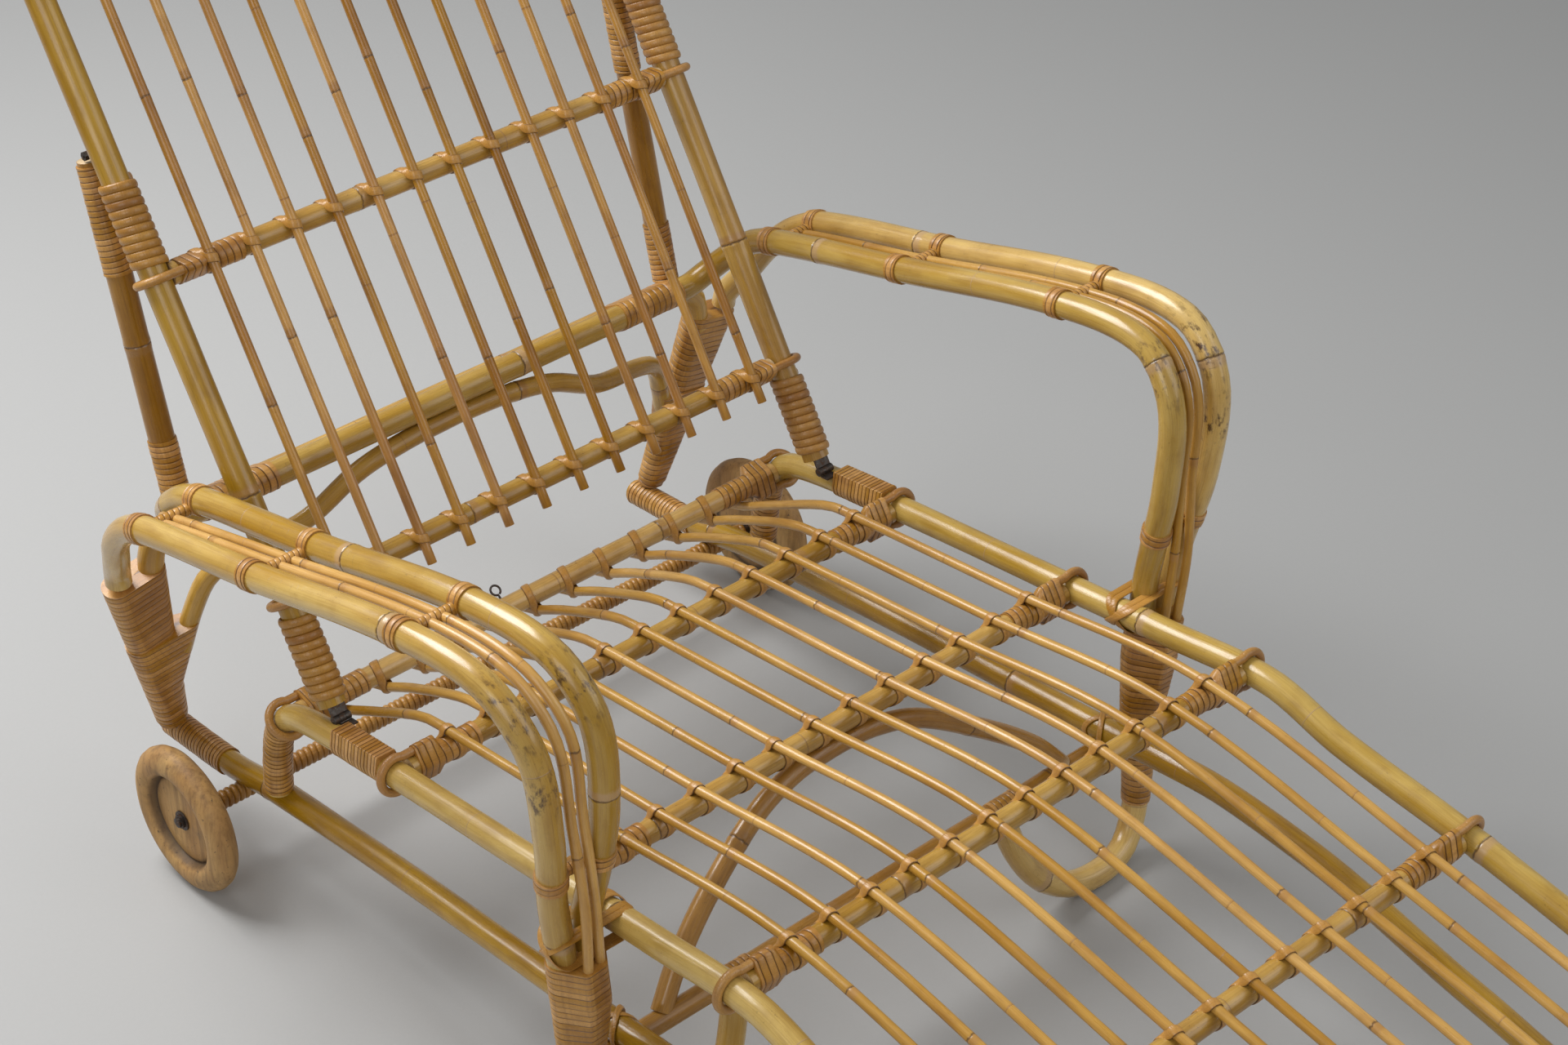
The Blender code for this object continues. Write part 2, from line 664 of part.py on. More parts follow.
# Backrest. The stile line leans back; the hinge pin sits in front of it, on top of the seat rail.
lean = Vector((0, 0.524, 0.851)).normalized()
face = Vector((0, -lean.z, lean.y))
low_rail_at = Vector((0, 0.158, 0.353))
hinge_front = 0.006
barrel_r = 0.0042
pin_sink = 0.00008
leaf_end_y = 0.012
pin_high = rail_flat + seat_gap + barrel_r - pin_sink
rail_b = at_y(seat_top, leaf_end_y)
hinge_z = rail_b.z + pin_high
for _ in range(12):
    base = low_rail_at - lean * ((low_rail_at.z + hinge_front * face.z - hinge_z) / lean.z)
    hinge_at = base + face * hinge_front
    rail_a = at_y(seat_top, hinge_at.y)
    forward = (rail_b - rail_a).normalized()
    over_rail = Vector((0, forward.z, -forward.y)).normalized()
    hinge_z += pin_high - (hinge_at - Vector((0, rail_a.y, rail_a.z))).dot(over_rail)
print("back hinge", [round(v, 7) for v in hinge_at])
rail_runs = {"low": (low_rail_at - base).dot(lean), "middle": 0.0, "top": 0.0}
rail_runs["middle"] = rail_runs["low"] + 0.2995
rail_runs["top"] = rail_runs["middle"] + 0.3300
stile_from = 0.0130
stile_to = rail_runs["top"] + 0.040

pin_r = 0.0018
barrel_bore = 0.00192
plate_half = 0.0007
leaf_half = 0.0085
knuckle = 0.0031
outer_spans = ((-leaf_half, -knuckle - gap), (knuckle + gap, leaf_half))
middle_span = ((-knuckle, knuckle),)


def barrel(centre, direction, normal, offset, start, end):
    """Barrel with a short tab, drawn as one outline and stretched along x."""
    low = math.asin((offset - plate_half) / barrel_r)
    high = math.asin((offset + plate_half) / barrel_r)
    outline = [(barrel_r + 0.002, offset - plate_half), (barrel_r + 0.002, offset + plate_half)]
    steps = 7
    for k in range(steps + 1):
        a = high + (math.tau + low - high) * k / steps
        outline.append((barrel_r * math.cos(a), barrel_r * math.sin(a)))
    near = [centre + across * start + direction * u + normal * v for u, v in outline]
    return loft([near, [p + across * (end - start) for p in near]])


def leaf_bodies(side, pin_at, direction, normal, reach, spans, offset=0.0):
    """Hinge plate with its barrels; two outer barrels also hold the pin."""
    centre = Vector((stile_x * side, pin_at.y, pin_at.z))
    bodies = [slab(centre + normal * offset, direction, across, normal, barrel_r + 2 * gap, reach,
                   -leaf_half, leaf_half, plate_half)]
    bodies += [barrel(centre, direction, normal, offset, a, b) for a, b in spans]
    if len(spans) == 2:
        pin_half = across * (leaf_half + 0.0008)
        bodies.append(rod(centre - pin_half, centre + pin_half, pin_r, 8))
    return bodies


def bore(side, pin_at):
    centre = Vector((stile_x * side, pin_at.y, pin_at.z))
    return rod(centre - across * 0.011, centre + across * 0.011, barrel_bore / math.cos(math.pi / 8), 8)


def slot(pin_at, direction, normal, side, start, end):
    centre = Vector((stile_x * side, pin_at.y, pin_at.z))
    return slab(centre, direction, across, normal, start, end,
                -leaf_half - gap, leaf_half + gap, plate_half + gap)


# Back hinge: one leaf on the seat rail under a squared wrap, the other let into the stile end.
back_origin = Vector((0, hinge_at.y, hinge_at.z))
leaf_offset = rail_flat + seat_gap + plate_half - pin_high
leaf_reach = hinge_at.y - 0.022
for label, side in sides:
    bodies = leaf_bodies(side, hinge_at, forward, over_rail, leaf_reach, outer_spans, leaf_offset)
    high = rail_r + 2 * gap + 2 * plate_half
    low = high - 0.0004
    round_rail = (0, 0, rail_flat + seat_gap)
    under = round_about([round_rail, (leaf_half, low, 0), (-leaf_half, low, 0)], 0.0)
    over = round_about([round_rail, (leaf_half, high, 0), (-leaf_half, high, 0)], wrap_thick)
    start = rail_b + across * (seat_rail_x * side - rail_b.x)
    ends = [(start + forward * run, across, over_rail) for run in (-0.0680, 0.0)]
    bodies.append(shell([ring(f, under) for f in ends], [ring(f, over) for f in ends]))
    piece(f"back_hinge_{label}", bodies, steel, smooth=False)

# Stiles with the upper hinge leaf, and a slot behind for the prop hinge.
prop_lean = math.radians(13.0)
prop_up = Vector((0, math.sin(prop_lean), math.cos(prop_lean)))
prop_front = Vector((0, -math.cos(prop_lean), math.sin(prop_lean)))
prop_top = Vector((0, 0.401, 0.690))
prop_pin = prop_top + prop_up * 0.0062 + prop_front * 0.006
pin_back = -(prop_pin - base).dot(face)
print("prop pin behind stile line", round(pin_back, 5), "along", round((prop_pin - base).dot(lean), 5))
for label, side in sides:
    shift = across * (stile_x * side)
    line = [base + lean * stile_from + shift, base + lean * stile_to + shift]
    bodies = [tube(line, stile_r)] + leaf_bodies(side, hinge_at, lean, face, 0.046, middle_span)
    stile = piece(f"back_stile_{label}", bodies, cane, origin=back_origin)
    cuts = [bore(side, hinge_at), slot(prop_pin, face, lean, side, 0.004, pin_back + 0.006 + gap)]
    carve(stile, cutter(f"stile_cuts_{label}", cuts))
    bodies = leaf_bodies(side, prop_pin, face, lean, pin_back + 0.006, outer_spans)
    piece(f"prop_hinge_{label}", bodies, steel, origin=back_origin, smooth=False)

# Back rails with their loops, wraps and lashings, and the slats on their front.
for label, run in rail_runs.items():
    place = base + lean * run
    bodies = bound_bar(place, face, stile_x - stile_r - gap, stile_x, stile_r)
    for k, x in enumerate(slat_x):
        lift = slat_lift(k)
        slant = 1 if k % 2 else -1
        bodies.append(lashing(place + face * lift + across * x, lean, face, lift, slant))
    piece(f"back_rail_{label}", bodies, cane, origin=back_origin)
for k, x in enumerate(slat_x):
    shift = face * slat_lift(k) + across * x
    line = [base + lean * (rail_runs["low"] - 0.024) + shift,
            base + lean * (rail_runs["top"] + 0.026) + shift]
    piece(f"back_slat_{k + 1:02d}", [tube(line, slat_r, 6)], slat_look, origin=back_origin)

# Reed windings on the stiles.
winding_spans = {"lower": (0.0235, rail_runs["low"] - 0.0125),
                 "upper": (rail_runs["middle"] + 0.0125, rail_runs["middle"] + 0.0920)}
for place, (start, end) in winding_spans.items():
    for label, side in sides:
        wrapped = winding(base + across * (stile_x * side), lean, start, end, stile_r)
        piece(f"stile_winding_{place}_{label}", [wrapped], reed, origin=back_origin)

# Prop legs hang from the stiles and stand on the hoop behind the rear bar.
hoop_centre = Vector((0, hoop_at.y, hoop_at.z))
prop_length = (prop_top - hoop_centre).dot(prop_up) - rail_r - 0.0005
prop_foot = prop_top - prop_up * prop_length
print("prop length", round(prop_length, 4),
      "foot ahead of hoop", round((prop_foot - hoop_centre).dot(prop_front), 4),
      "bar to prop side", round((rear_bar - prop_foot).dot(prop_front), 4))
for label, side in sides:
    shift = across * (stile_x * side)
    line = [prop_top + shift, prop_foot + shift]
    bodies = [tube(line, prop_r), wound(line, prop_r, 0.004, 0.104),
              wound(line, prop_r, prop_length - 0.060, prop_length - 0.0008)]
    bodies += leaf_bodies(side, prop_pin, -prop_up, prop_front, 0.040, middle_span)
    leg = piece(f"prop_leg_{label}", bodies, cane_dark, origin=prop_pin + shift)
    carve(leg, cutter(f"prop_bore_{label}", [bore(side, prop_pin)]))

for obj in bpy.data.objects:
    obj.location.y += centre_shift
print("objects", len([o for o in bpy.data.objects if not o.hide_render]))
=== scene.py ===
import bisect
import math
import random
import bmesh
import bpy
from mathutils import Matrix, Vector


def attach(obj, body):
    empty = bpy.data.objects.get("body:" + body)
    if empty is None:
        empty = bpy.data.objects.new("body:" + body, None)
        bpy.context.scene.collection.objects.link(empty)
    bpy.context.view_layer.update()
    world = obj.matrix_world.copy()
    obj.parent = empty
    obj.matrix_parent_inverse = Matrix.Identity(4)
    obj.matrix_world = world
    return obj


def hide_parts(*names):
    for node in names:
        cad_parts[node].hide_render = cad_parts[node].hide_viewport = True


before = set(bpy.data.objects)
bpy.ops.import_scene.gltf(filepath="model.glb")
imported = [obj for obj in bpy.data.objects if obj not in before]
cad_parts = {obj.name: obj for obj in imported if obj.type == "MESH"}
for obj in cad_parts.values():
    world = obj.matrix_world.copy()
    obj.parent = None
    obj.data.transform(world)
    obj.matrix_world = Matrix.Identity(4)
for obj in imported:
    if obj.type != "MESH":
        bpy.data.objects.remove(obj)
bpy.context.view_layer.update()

# The chair is written with y = 0 at the second seat bar, and shifted to the middle of its length
centreShift = Vector((0, 0.35005, 0))
across = Vector((1, 0, 0))
along = Vector((0, 1, 0))
upward = Vector((0, 0, 1))
sides = (("Left", "left", -1), ("Right", "right", 1))

canes = {"rail": 0.0125, "bar": 0.0105, "slat": 0.0046, "reed": 0.004, "arch": 0.0095, "thin": 0.0045,
         "stile": 0.013, "prop": 0.012, "strip": 0.0084, "stripThick": 0.0014, "gap": 0.0003}


# Paths
def smoothPath(control, steps=10):
    pts = [Vector(p) for p in control]
    ends = [pts[0] * 2 - pts[1]] + pts + [pts[-1] * 2 - pts[-2]]
    dense = []
    for a, b, c, d in zip(ends, ends[1:], ends[2:], ends[3:]):
        span = (c - b).length
        tb = (c - a) * (span / ((c - b).length + (b - a).length))
        tc = (d - b) * (span / ((d - c).length + (c - b).length))
        for k in range(steps):
            t = k / steps
            dense.append(b * (2 * t ** 3 - 3 * t ** 2 + 1) + tb * (t ** 3 - 2 * t ** 2 + t)
                         + c * (3 * t ** 2 - 2 * t ** 3) + tc * (t ** 3 - t ** 2))
    dense.append(pts[-1])
    return dense


def placed(path):
    return [p + centreShift for p in path]


def mirrored(path, side):
    return [Vector((p.x * side, p.y, p.z)) for p in path]


# Three points: the centre and one step to each side of it
def throughLine(centre, step):
    return [centre - step, centre, centre + step]


# Whole line from the half that starts at the middle of the chair
def wholeOf(half):
    return mirrored(half, -1)[::-1] + half[1:]


def pointAt(path, axis, value):
    for a, b in zip(path, path[1:]):
        if (a[axis] - value) * (b[axis] - value) <= 0 and a[axis] != b[axis]:
            return a.lerp(b, (value - a[axis]) / (b[axis] - a[axis]))
    raise ValueError(value)


# Run lengths, points, and the heading and carried side vector at each point of a path
def railOf(path, hint):
    runs = [0.0]
    for a, b in zip(path, path[1:]):
        runs.append(runs[-1] + (b - a).length)
    sideways = []
    n = Vector(hint)
    for i in range(len(path)):
        t = (path[min(i + 1, len(path) - 1)] - path[max(i - 1, 0)]).normalized()
        n = (n - t * n.dot(t)).normalized()
        sideways.append((t, n.copy()))
    return {"runs": runs, "points": path, "turns": sideways, "length": runs[-1]}


def stationAt(rail, run):
    run = max(0.0, min(rail["length"], run))
    i = max(0, min(len(rail["runs"]) - 2, bisect.bisect_right(rail["runs"], run) - 1))
    t = (run - rail["runs"][i]) / max(1e-9, rail["runs"][i + 1] - rail["runs"][i])
    p = rail["points"][i].lerp(rail["points"][i + 1], t)
    heading = rail["turns"][i][0].lerp(rail["turns"][i + 1][0], t).normalized()
    n = rail["turns"][i][1].lerp(rail["turns"][i + 1][1], t)
    n = (n - heading * n.dot(heading)).normalized()
    return p, heading, n, heading.cross(n)


def runTo(path, point):
    best, run = (1e9, 0.0), 0.0
    for a, b in zip(path, path[1:]):
        d = b - a
        t = max(0.0, min(1.0, (point - a).dot(d) / d.length_squared))
        far = (a + d * t - point).length
        if far < best[0]:
            best = (far, run + d.length * t)
        run += d.length
    return best[1]


# Piles of geometry, one for each piece
vertKeys = ("verts", "space", "tone", "ring", "cut", "char")


def newPile():
    return {key: [] for key in vertKeys + ("faces", "looks")}


def addVert(pile, point, space, tone, ring=0.05, cut=0.0, char=0.0):
    for key, value in zip(vertKeys, (point, space, tone, ring, cut, char)):
        pile[key].append(value)
    return len(pile["verts"]) - 1


def addFace(pile, corners, look):
    pile["faces"].append(corners)
    pile["looks"].append(look)


# Skin between each ring of vertices and the next
def addSkin(pile, rings, look, closed=False):
    for a, b in zip(rings, rings[1:] + rings[:int(closed)]):
        for k in range(len(a)):
            m = (k + 1) % len(a)
            addFace(pile, (a[k], a[m], b[m], b[k]), look)


# End of a ring: a fan of triangles round its hub
def addFan(pile, ring, hub, order, look):
    for k, corner in enumerate(ring):
        tri = (corner, ring[(k + 1) % len(ring)], hub)
        addFace(pile, tri if order > 0 else tri[::-1], look)


# Cane with node rings, slightly out of round, and cut ends
def addCane(pile, path, radius, look, seed, nodeStep=0.34, around=20, step=0.012, hint=across, charAt=()):
    rnd = random.Random(seed)
    rail = railOf(path, hint)
    total = rail["length"]
    knots = []
    place = rnd.uniform(0.25, 0.95) * nodeStep
    while place < total - 0.03:
        knots.append(place)
        place += nodeStep * rnd.uniform(0.8, 1.2)
    count = max(2, int(total / step))
    stops = {round(total * k / count, 5) for k in range(count + 1)}
    for knot in knots:
        stops = {s for s in stops if abs(s - knot) > 0.006}
        stops |= {knot + d for d in (-0.006, -0.0028, -0.0009, 0.0, 0.0009, 0.0030, 0.007)}
    stops = sorted(s for s in stops if 0 <= s <= total)
    tone = rnd.random()
    phase = rnd.uniform(0, math.tau)
    swell, dip, swellReach, dipReach = radius * 0.05, radius * 0.055, 0.0042, 0.0007
    rings = []
    for s in stops:
        p, t, n, m = stationAt(rail, s)
        near = min((s - k for k in knots), key=abs) if knots else 0.05
        grow = swell * math.exp(-(near / swellReach) ** 2) - dip * math.exp(-(near / dipReach) ** 2)
        grow += radius * 0.012 * math.sin(s * 31 + phase)
        char = sum(math.exp(-((s - at) / spread) ** 2) for at, spread in charAt)
        ring = []
        for k in range(around):
            a = math.tau * k / around
            r = radius * (0.993 + 0.008 * math.cos(2 * a + phase)) + grow
            ring.append(addVert(pile, p + n * (r * math.cos(a)) + m * (r * math.sin(a)),
                                (radius * math.cos(a), radius * math.sin(a), s + seed), tone,
                                max(-0.05, min(0.05, near)), 0.0, char))
        rings.append(ring)
    addSkin(pile, rings, look)
    for ring, run, order in ((rings[0], 0.0, -1), (rings[-1], total, 1)):
        p, t, n, m = stationAt(rail, run)
        inner = []
        for k in range(around):
            a = math.tau * k / around
            v = p + t * (order * 0.0003) + (n * math.cos(a) + m * math.sin(a)) * (radius * 0.94)
            space = (radius * math.cos(a), radius * math.sin(a), run)
            inner.append(addVert(pile, v, space, tone, 0.05, 1.0))
        hub = addVert(pile, p + t * (order * 0.0003), (0, 0, run), tone, 0.05, 1.0)
        for k in range(around):
            m2 = (k + 1) % around
            quad, tri = (ring[k], ring[m2], inner[m2], inner[k]), (inner[k], inner[m2], hub)
            addFace(pile, quad if order > 0 else quad[::-1], look)
            addFace(pile, tri if order > 0 else tri[::-1], look)


# Height of a wound strip over one turn, and the pitch that its seam shader counts in
wrapRows = ((0.0, 0.38), (0.07, 0.80), (0.32, 0.96), (0.80, 1.0), (0.95, 0.84))
seamPitch = 0.005


def rowHeight(share):
    share %= 1.0
    table = wrapRows + ((1.0, wrapRows[0][1]),)
    for (a, ha), (b, hb) in zip(table, table[1:]):
        if share <= b:
            return ha + (hb - ha) * (share - a) / (b - a)
    return wrapRows[0][1]


def hullPoint(discs, angle, grow):
    c, s = math.cos(angle), math.sin(angle)
    u, v, r = max(discs, key=lambda d: d[0] * c + d[1] * s + d[2])
    return u + (r + grow) * c, v + (r + grow) * s


# Flat strip wound close on whatever the discs describe, as one spiral skin with closed ends
def addWrap(pile, path, start, end, discsAt, seed, pitch=0.0052, around=24, hint=across, hand=1):
    rnd = random.Random(seed)
    rail = railOf(path, hint)
    start, end = max(0.0, start), min(rail["length"], end)
    turns = max(2, round((end - start) / pitch))
    pitch = (end - start) / turns
    tones = [rnd.random() for _ in range(turns + 3)]
    lifts = [rnd.uniform(0.88, 1.12) for _ in range(turns + 3)]
    rowCount = len(wrapRows)
    grid = []
    for row in range(rowCount * (turns + 1) + 1):
        j, p = divmod(row, rowCount)
        line = []
        for k in range(around):
            share = k / around
            s = min(end, max(start, start + pitch * (j + wrapRows[p][0] - share)))
            turn = (s - start) / pitch + share
            a = math.tau * share * hand
            high = canes["stripThick"] * rowHeight(turn) * lifts[int(turn)]
            u, v = hullPoint(discsAt(s), a, high)
            at, t, n, m = stationAt(rail, s)
            far = max(0.004, math.hypot(u, v))
            full = math.tau * share
            space = (far * math.cos(full), far * math.sin(full), (s - start) / pitch * seamPitch)
            line.append(addVert(pile, at + n * u + m * v, space, tones[int(turn)]))
        grid.append(line)
    for row, (a, b) in enumerate(zip(grid, grid[1:])):
        for k in range(around):
            if k + 1 < around:
                corners = (a[k], a[k + 1], b[k + 1], b[k])
            else:
                corners = (a[k], grid[max(0, row - rowCount)][0], grid[max(0, row + 1 - rowCount)][0], b[k])
            addFace(pile, corners if hand > 0 else corners[::-1], "strip")
    for line, run, order in ((grid[0], start, -1), (grid[-1], end, 1)):
        at, t, n, m = stationAt(rail, run)
        addFan(pile, line, addVert(pile, at, (0, 0, run), 0.5), order * hand, "strip")


# Plain round reed or wire with rounded ends
def addTube(pile, path, radius, look, tone, around=12, hint=across, seed=0.0, dome=0.35):
    rail = railOf(path, hint)
    rings = []
    for i, p in enumerate(path):
        t, n = rail["turns"][i]
        m = t.cross(n)
        ring = []
        for k in range(around):
            c, s = math.cos(math.tau * k / around), math.sin(math.tau * k / around)
            space = (radius * c, radius * s, rail["runs"][i] + seed)
            ring.append(addVert(pile, p + (n * c + m * s) * radius, space, tone))
        rings.append(ring)
    addSkin(pile, rings, look)
    for ring, i, order in ((rings[0], 0, -1), (rings[-1], -1, 1)):
        tip = path[i] + rail["turns"][i][0] * (radius * dome * order)
        addFan(pile, ring, addVert(pile, tip, (0, 0, rail["runs"][i] + seed), tone), order, look)


# Flat strip with a domed back that follows a closed path, its back towards the outward vectors
def addRibbon(pile, path, outward, width, thick, tone):
    outline = ((-0.5, 0.1), (-0.46, 0.62), (-0.25, 0.95), (0.25, 0.95),
               (0.46, 0.62), (0.5, 0.1), (0.4, 0.0), (-0.4, 0.0))
    rings = []
    run = 0.0
    for i, p in enumerate(path):
        t = (path[(i + 1) % len(path)] - path[(i - 1) % len(path)]).normalized()
        n = (outward[i] - t * outward[i].dot(t)).normalized()
        m = t.cross(n)
        run += (p - path[i - 1]).length if i else 0.0
        rings.append([addVert(pile, p + m * (u * width) + n * (v * thick), (u * width, v * thick, run), tone)
                      for u, v in outline])
    addSkin(pile, rings, "lash", True)


# Closed strip round several discs in the plane of u and v, shifted sideways by slide(angle)
def addHullBand(pile, centre, u, v, discs, slide, width, tone, grow):
    sideways = u.cross(v)
    path, outward = [], []
    for k in range(40):
        angle = math.tau * k / 40
        hu, hv = hullPoint(discs, angle, grow)
        path.append(centre + u * hu + v * hv + sideways * slide(angle))
        outward.append(u * math.cos(angle) + v * math.sin(angle))
    addRibbon(pile, placed(path), outward, width, canes["stripThick"], tone)


# Hinge leaf as a flat plate that runs along u, with its faces towards w
def addLeaf(pile, origin, u, w, uSpan):
    half, thick = hinges["leafHalf"], hinges["leafThickHalf"]
    corners = [addVert(pile, origin + u * a + across * b + w * c, (a, b, c), 0.5)
               for a in uSpan for b in (-half, half) for c in (-thick, thick)]
    for face in ((0, 1, 3, 2), (4, 6, 7, 5), (0, 4, 5, 1), (2, 3, 7, 6), (0, 2, 6, 4), (1, 5, 7, 3)):
        addFace(pile, tuple(corners[k] for k in face), "steel")


def finishMesh(name, pile):
    mesh = bpy.data.meshes.new(name)
    mesh.from_pydata([tuple(v) for v in pile["verts"]], [], pile["faces"])
    layer = mesh.attributes.new("space", "FLOAT_VECTOR", "POINT")
    layer.data.foreach_set("vector", [c for v in pile["space"] for c in v])
    for key in vertKeys[2:]:
        mesh.attributes.new(key, "FLOAT", "POINT").data.foreach_set("value", pile[key])
    used = sorted(set(pile["looks"]))
    for look in used:
        mesh.materials.append(looks[look])
    mesh.polygons.foreach_set("material_index", [used.index(look) for look in pile["looks"]])
    sharpAngle = math.radians(50)
    work = bmesh.new()
    work.from_mesh(mesh)
    bmesh.ops.remove_doubles(work, verts=work.verts, dist=0.000004)
    bmesh.ops.dissolve_degenerate(work, dist=0.000002, edges=work.edges)
    bmesh.ops.recalc_face_normals(work, faces=work.faces)
    work.to_mesh(mesh)
    work.free()
    mesh.shade_smooth()
    mesh.set_sharp_from_angle(angle=sharpAngle)
    return mesh


def newObject(name, data):
    obj = bpy.data.objects.new(name, data)
    bpy.context.scene.collection.objects.link(obj)
    return obj


def showPiece(name, mesh, body, nodes):
    obj = newObject(name, mesh)
    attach(obj, body)
    if nodes:
        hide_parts(*nodes)


# Finishes the slats of one field, which replace numbered nodes
def finishSlats(name, pile, body, node):
    finishPiece(name, pile, body, "thin_cane", *[f"{node}_{k + 1:02d}" for k in range(seat["slats"])])


def finishPiece(name, pile, body, slot, *nodes):
    showPiece(name, finishMesh(name, pile), body, nodes)


# Node trees: a value that is fed to a socket is either linked to it or set on it
def feed(socket, value):
    if isinstance(value, bpy.types.NodeSocket):
        socket.id_data.links.new(value, socket)
    elif socket.type == "RGBA":
        socket.default_value = (*value, 1)
    else:
        socket.default_value = value


# Node of a tree: plain values go to its first sockets, capitalised names to sockets, the rest set it up
def newNode(tree, kind, *slots, **values):
    node = tree.nodes.new(kind)
    for key, value in values.items():
        if key[0].isupper():
            feed(node.inputs[key.replace("_", " ")], value)
        else:
            setattr(node, key, value)
    for socket, value in zip(node.inputs, slots):
        feed(socket, value)
    return node


# The first output of a new node
def firstOf(tree, kind, *slots, **values):
    return newNode(tree, kind, *slots, **values).outputs[0]


def mathNode(operation, a, b=0.5, clamp=False):
    tree = (a if isinstance(a, bpy.types.NodeSocket) else b).id_data
    return firstOf(tree, "ShaderNodeMath", a, b, operation=operation, use_clamp=clamp)


def rangeNode(value, low, high, toLow=0.0, toHigh=1.0, kind="LINEAR"):
    return firstOf(value.id_data, "ShaderNodeMapRange", value, low, high, toLow, toHigh,
                   interpolation_type=kind)


def mixNode(factor, a, b):
    node = newNode(factor.id_data, "ShaderNodeMix", factor, data_type="RGBA")
    feed(node.inputs[6], a)
    feed(node.inputs[7], b)
    return node.outputs[2]


# Colour with a tint laid over it where the mask is
def stain(colour, mask, strength, tint):
    return mixNode(mathNode("MULTIPLY", mask, strength), colour, tint)


def stretched(vector, scale):
    return firstOf(vector.id_data, "ShaderNodeVectorMath", vector, scale, operation="MULTIPLY")


# Noise with one scale, or with a scale for each axis
def noiseNode(vector, scale, detail=3.0, rough=0.5):
    if isinstance(scale, tuple):
        vector, scale = stretched(vector, scale), 1.0
    return firstOf(vector.id_data, "ShaderNodeTexNoise", Vector=vector, Scale=scale, Detail=detail,
                   Roughness=rough)


def attributeNode(tree, name, output="Fac"):
    return newNode(tree, "ShaderNodeAttribute", attribute_name=name).outputs[output]


def objectPlace(tree):
    return newNode(tree, "ShaderNodeTexCoord").outputs["Object"]


# Tree with named sockets, each given as a kind or as a number that it starts with
def newTree(name, kind, inputs, outputs):
    tree = bpy.data.node_groups.new(name, kind)
    for way, sockets in (("INPUT", inputs), ("OUTPUT", outputs)):
        for label, sort in sockets.items():
            kindName = {float: "Float", int: "Int"}.get(type(sort), sort)
            socket = tree.interface.new_socket(name=label, in_out=way, socket_type=f"NodeSocket{kindName}")
            if kindName != sort:
                socket.default_value = sort
    return tree, tree.nodes.new("NodeGroupInput").outputs, tree.nodes.new("NodeGroupOutput").inputs


def placeGroup(group, **values):
    node = newNode(values["space"].id_data, "ShaderNodeGroup", node_tree=group)
    for key, value in values.items():
        feed(node.inputs[key.capitalize()], value)
    return node.outputs


# Fibres that run along the cane, with broad drifts of colour between them
fibreGroup, ins, outs = newTree(
    "caneFibre", "ShaderNodeTree",
    {"Space": "Vector", "Tone": 0.5, "Fine": 900.0, "Light": "Color", "Dark": "Color", "Ripe": "Color"},
    {"Colour": "Color", "Height": "Float", "Rough": "Float"})
fine = noiseNode(stretched(ins["Space"], (1.0, 1.0, 0.018)), ins["Fine"], 4.0, 0.62)
drift = noiseNode(ins["Space"], (28.0, 28.0, 5.0), 3.0, 0.55)
blotch = noiseNode(ins["Space"], (110.0, 110.0, 24.0), 4.0, 0.6)
shade = mixNode(rangeNode(drift, 0.36, 0.66, kind="SMOOTHSTEP"), ins["Light"], ins["Ripe"])
shade = mixNode(rangeNode(blotch, 0.50, 0.78, 0.0, 0.5), shade, ins["Dark"])
shade = mixNode(rangeNode(fine, 0.48, 0.80, 0.0, 0.55), shade, ins["Dark"])
shade = mixNode(rangeNode(fine, 0.40, 0.22, 0.0, 0.30), shade, ins["Light"])
toned = newNode(fibreGroup, "ShaderNodeHueSaturation", Color=shade,
                Value=rangeNode(ins["Tone"], 0.0, 1.0, 0.78, 1.16),
                Saturation=rangeNode(ins["Tone"], 0.0, 1.0, 1.10, 0.96))
feed(outs["Colour"], toned.outputs["Color"])
feed(outs["Height"], fine)
feed(outs["Rough"], rangeNode(blotch, 0.3, 0.8))

# The rings where the leaves grew: a thin dark line, then a pinkish band on one side of it
ringGroup, ins, outs = newTree("caneRing", "ShaderNodeTree", {"Ring": 0.05, "Space": "Vector"},
                               {"Line": "Float", "Band": "Float"})
ragged = rangeNode(noiseNode(ins["Space"], (260.0, 260.0, 260.0), 2.0), 0.3, 0.7, -0.0007, 0.0007)
moved = mathNode("ADD", ins["Ring"], ragged)
feed(outs["Line"], rangeNode(mathNode("ABSOLUTE", moved), 0.0003, 0.0013, 1.0, 0.0))
bandStart, bandEnd = rangeNode(moved, -0.0004, 0.0006), rangeNode(moved, 0.0065, 0.0100, 1.0, 0.0)
feed(outs["Band"], mathNode("MULTIPLY", bandStart, bandEnd))

# Scuffs, hairline cross cracks and grime that gathers with age
wearGroup, ins, outs = newTree("caneWear", "ShaderNodeTree", {"Space": "Vector", "Amount": 0.5},
                               {"Crack": "Float", "Speck": "Float", "Grime": "Float"})
place = objectPlace(wearGroup)
hair = rangeNode(noiseNode(ins["Space"], (70.0, 70.0, 1300.0), 3.0, 0.6), 0.66, 0.74)
crack = mathNode("MULTIPLY", hair, rangeNode(noiseNode(place, 11.0, 2.0), 0.52, 0.66))
patch = noiseNode(place, 26.0, 3.0, 0.6)
dots = rangeNode(noiseNode(place, 420.0, 2.0), 0.66, 0.74)
speck = mathNode("MULTIPLY", dots, rangeNode(patch, 0.50, 0.68))
feed(outs["Crack"], mathNode("MULTIPLY", crack, ins["Amount"]))
feed(outs["Speck"], mathNode("MULTIPLY", speck, ins["Amount"]))
feed(outs["Grime"], rangeNode(patch, 0.52, 0.80))

